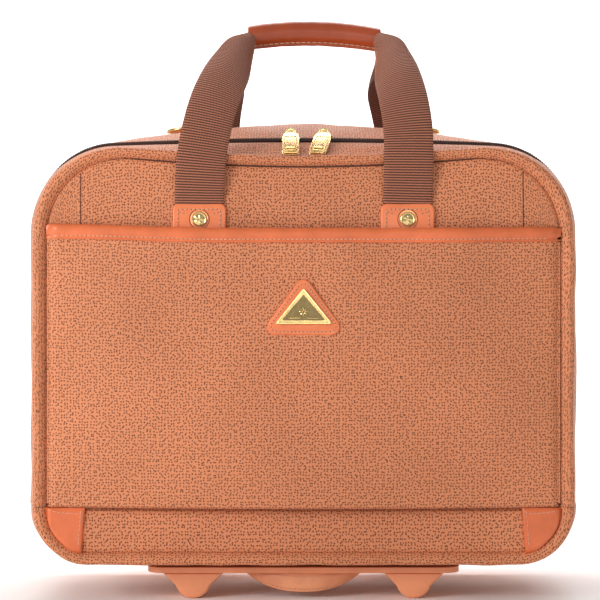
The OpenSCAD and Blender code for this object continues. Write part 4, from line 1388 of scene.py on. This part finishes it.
# material, bevel and names of the CAD nodes that stay in view
NODE_LOOKS = (
    (TAN_PLASTIC, 1.2, "base_plate"),
    (TAN_PLASTIC, 1.0, "wheel_housing_left wheel_housing_right"),
    (TAN_PLASTIC, 0, "hub_left hub_right"),
    (STEEL, 0.3, "base_screws"),
    (STEEL, 0, "wheel_axles bearings_left bearings_right push_rods lock_pin_left lock_pin_right"),
    (RUBBER, 0, "tyre_left tyre_right"),
    (BOARD, 0, "lid_board back_board base_board"),
    (GOLD, 0, "d_ring_left d_ring_right"),
    (LEATHER, 0.5, "ring_tabs"),
    (ALUMINIUM, 0, "outer_tubes middle_tubes inner_tubes"),
    (BLACK_PLASTIC, 0.4, "middle_collars"),
    (BLACK_PLASTIC, 0.8, "trolley_bezel"),
    (BLACK_PLASTIC, 1.4, "trolley_grip"),
    (BLACK_PLASTIC, 0.7, "button"),
    (BLACK_PLASTIC, 0, "lock_plugs"),
)


def finish_nodes():
    """Gives every CAD node that stays in view its material and soft edges."""
    for material, soft, names in NODE_LOOKS:
        for name in names.split():
            node = frame["nodes"][name]
            node.data.materials.clear()
            node.data.materials.append(material)
            if not soft:
                continue
            weld = node.modifiers.new("weld", "WELD")
            weld.merge_threshold = 0.00001
            bevel = node.modifiers.new("bevel", "BEVEL")
            bevel.width = soft * MM
            bevel.segments = 3
            bevel.limit_method = "ANGLE"
            bevel.angle_limit = math.radians(35)
            node.modifiers.new("weighted", "WEIGHTED_NORMAL")


# ---- camera, light and floor ----
def make_camera():
    data = bpy.data.cameras.new("camera")
    camera = link("camera", data)
    data.sensor_width = 36
    data.lens = 116.9
    data.clip_end = 20
    camera.location = (-0.0027, -1.590, 0.2325)
    camera.rotation_euler = (math.pi / 2, 0, 0)
    bpy.context.scene.camera = camera


def area_light(name, place, target, size, power):
    data = bpy.data.lights.new(name, "AREA")
    data.shape = "RECTANGLE"
    data.size, data.size_y = size
    data.energy = power
    light = link(name, data)
    light.location = place
    light.rotation_euler = (Vector(target) - Vector(place)).to_track_quat("-Z", "Y").to_euler()


FLOOR_HALF = 5000.0
FLOOR_FRONT = -4500.0
CURVE_START = 3200.0
CURVE_R = 700.0
WALL_TOP = 4800.0


def make_stage():
    """A pale floor that curves up into a wall far behind the case."""
    profile = [(FLOOR_FRONT, 0.0), (CURVE_START, 0.0)]
    for a in run(0, math.pi / 2, 12)[1:]:
        profile.append((CURVE_START + CURVE_R * math.sin(a), CURVE_R - CURVE_R * math.cos(a)))
    profile.append((CURVE_START + CURVE_R, WALL_TOP))
    rows = np.array([[[-FLOOR_HALF, y, z], [FLOOR_HALF, y, z]] for y, z in profile])
    shape = Shape()
    shape.grid(rows, arc_uv(rows))
    mesh = shape.mesh("floor")
    floor = link("floor", mesh)
    for polygon in mesh.polygons:
        polygon.use_smooth = True
    look = Look("studio_floor", 0.9, Specular_IOR_Level=0.0)
    look.colour(look.mix(look.noise(look.place(), 3.0), (0.95, 0.95, 0.95), (0.98, 0.98, 0.98)))
    mesh.materials.append(look.material)


def make_light():
    world = bpy.data.worlds.new("studio")
    bpy.context.scene.world = world
    world.use_nodes = True
    background = world.node_tree.nodes["Background"]
    background.inputs["Color"].default_value = (1, 0.99, 0.98, 1)
    background.inputs["Strength"].default_value = 0.4
    area_light("key", (-1.35, -1.15, 0.66), (-0.05, 0, 0.22), (0.8, 0.8), 17)
    area_light("backdrop", (0, 1.9, 2.8), (0, 3.5, 0.4), (3.6, 1.2), 150)
    area_light("top", (-0.1, 0.5, 1.8), (0, 0, 0.35), (1.4, 0.8), 10)
    area_light("card", (0.1, -2.3, 0.4), (0, 0, 0.24), (0.5, 0.4), 1.8)
    bpy.context.scene.view_settings.view_transform = "Standard"


def main():
    make_camera()
    make_stage()
    make_light()
    make_sides()
    make_seam_shadow_cord()
    make_panels()
    pocket = make_pocket()
    make_trim(pocket)
    make_badge(pocket)
    make_corners()
    on_front, on_back = facing_front(FRONT_Y - 0.4), facing_back(BACK_Y + 0.4)
    make_tabs("front", "front_lid", on_front, [0, -1, 0])
    make_tabs("rear", "case", on_back, [0, 1, 0])
    make_rivets("front", "front_lid", on_front)
    make_rivets("rear", "case", on_back)
    make_handles()
    make_zip()
    for name, side in (("left", -1), ("right", 1)):
        make_slider(name, side)
        make_pull(name)
    make_inside()
    make_spring()
    make_grab_handle()
    make_feet()
    finish_nodes()


main()
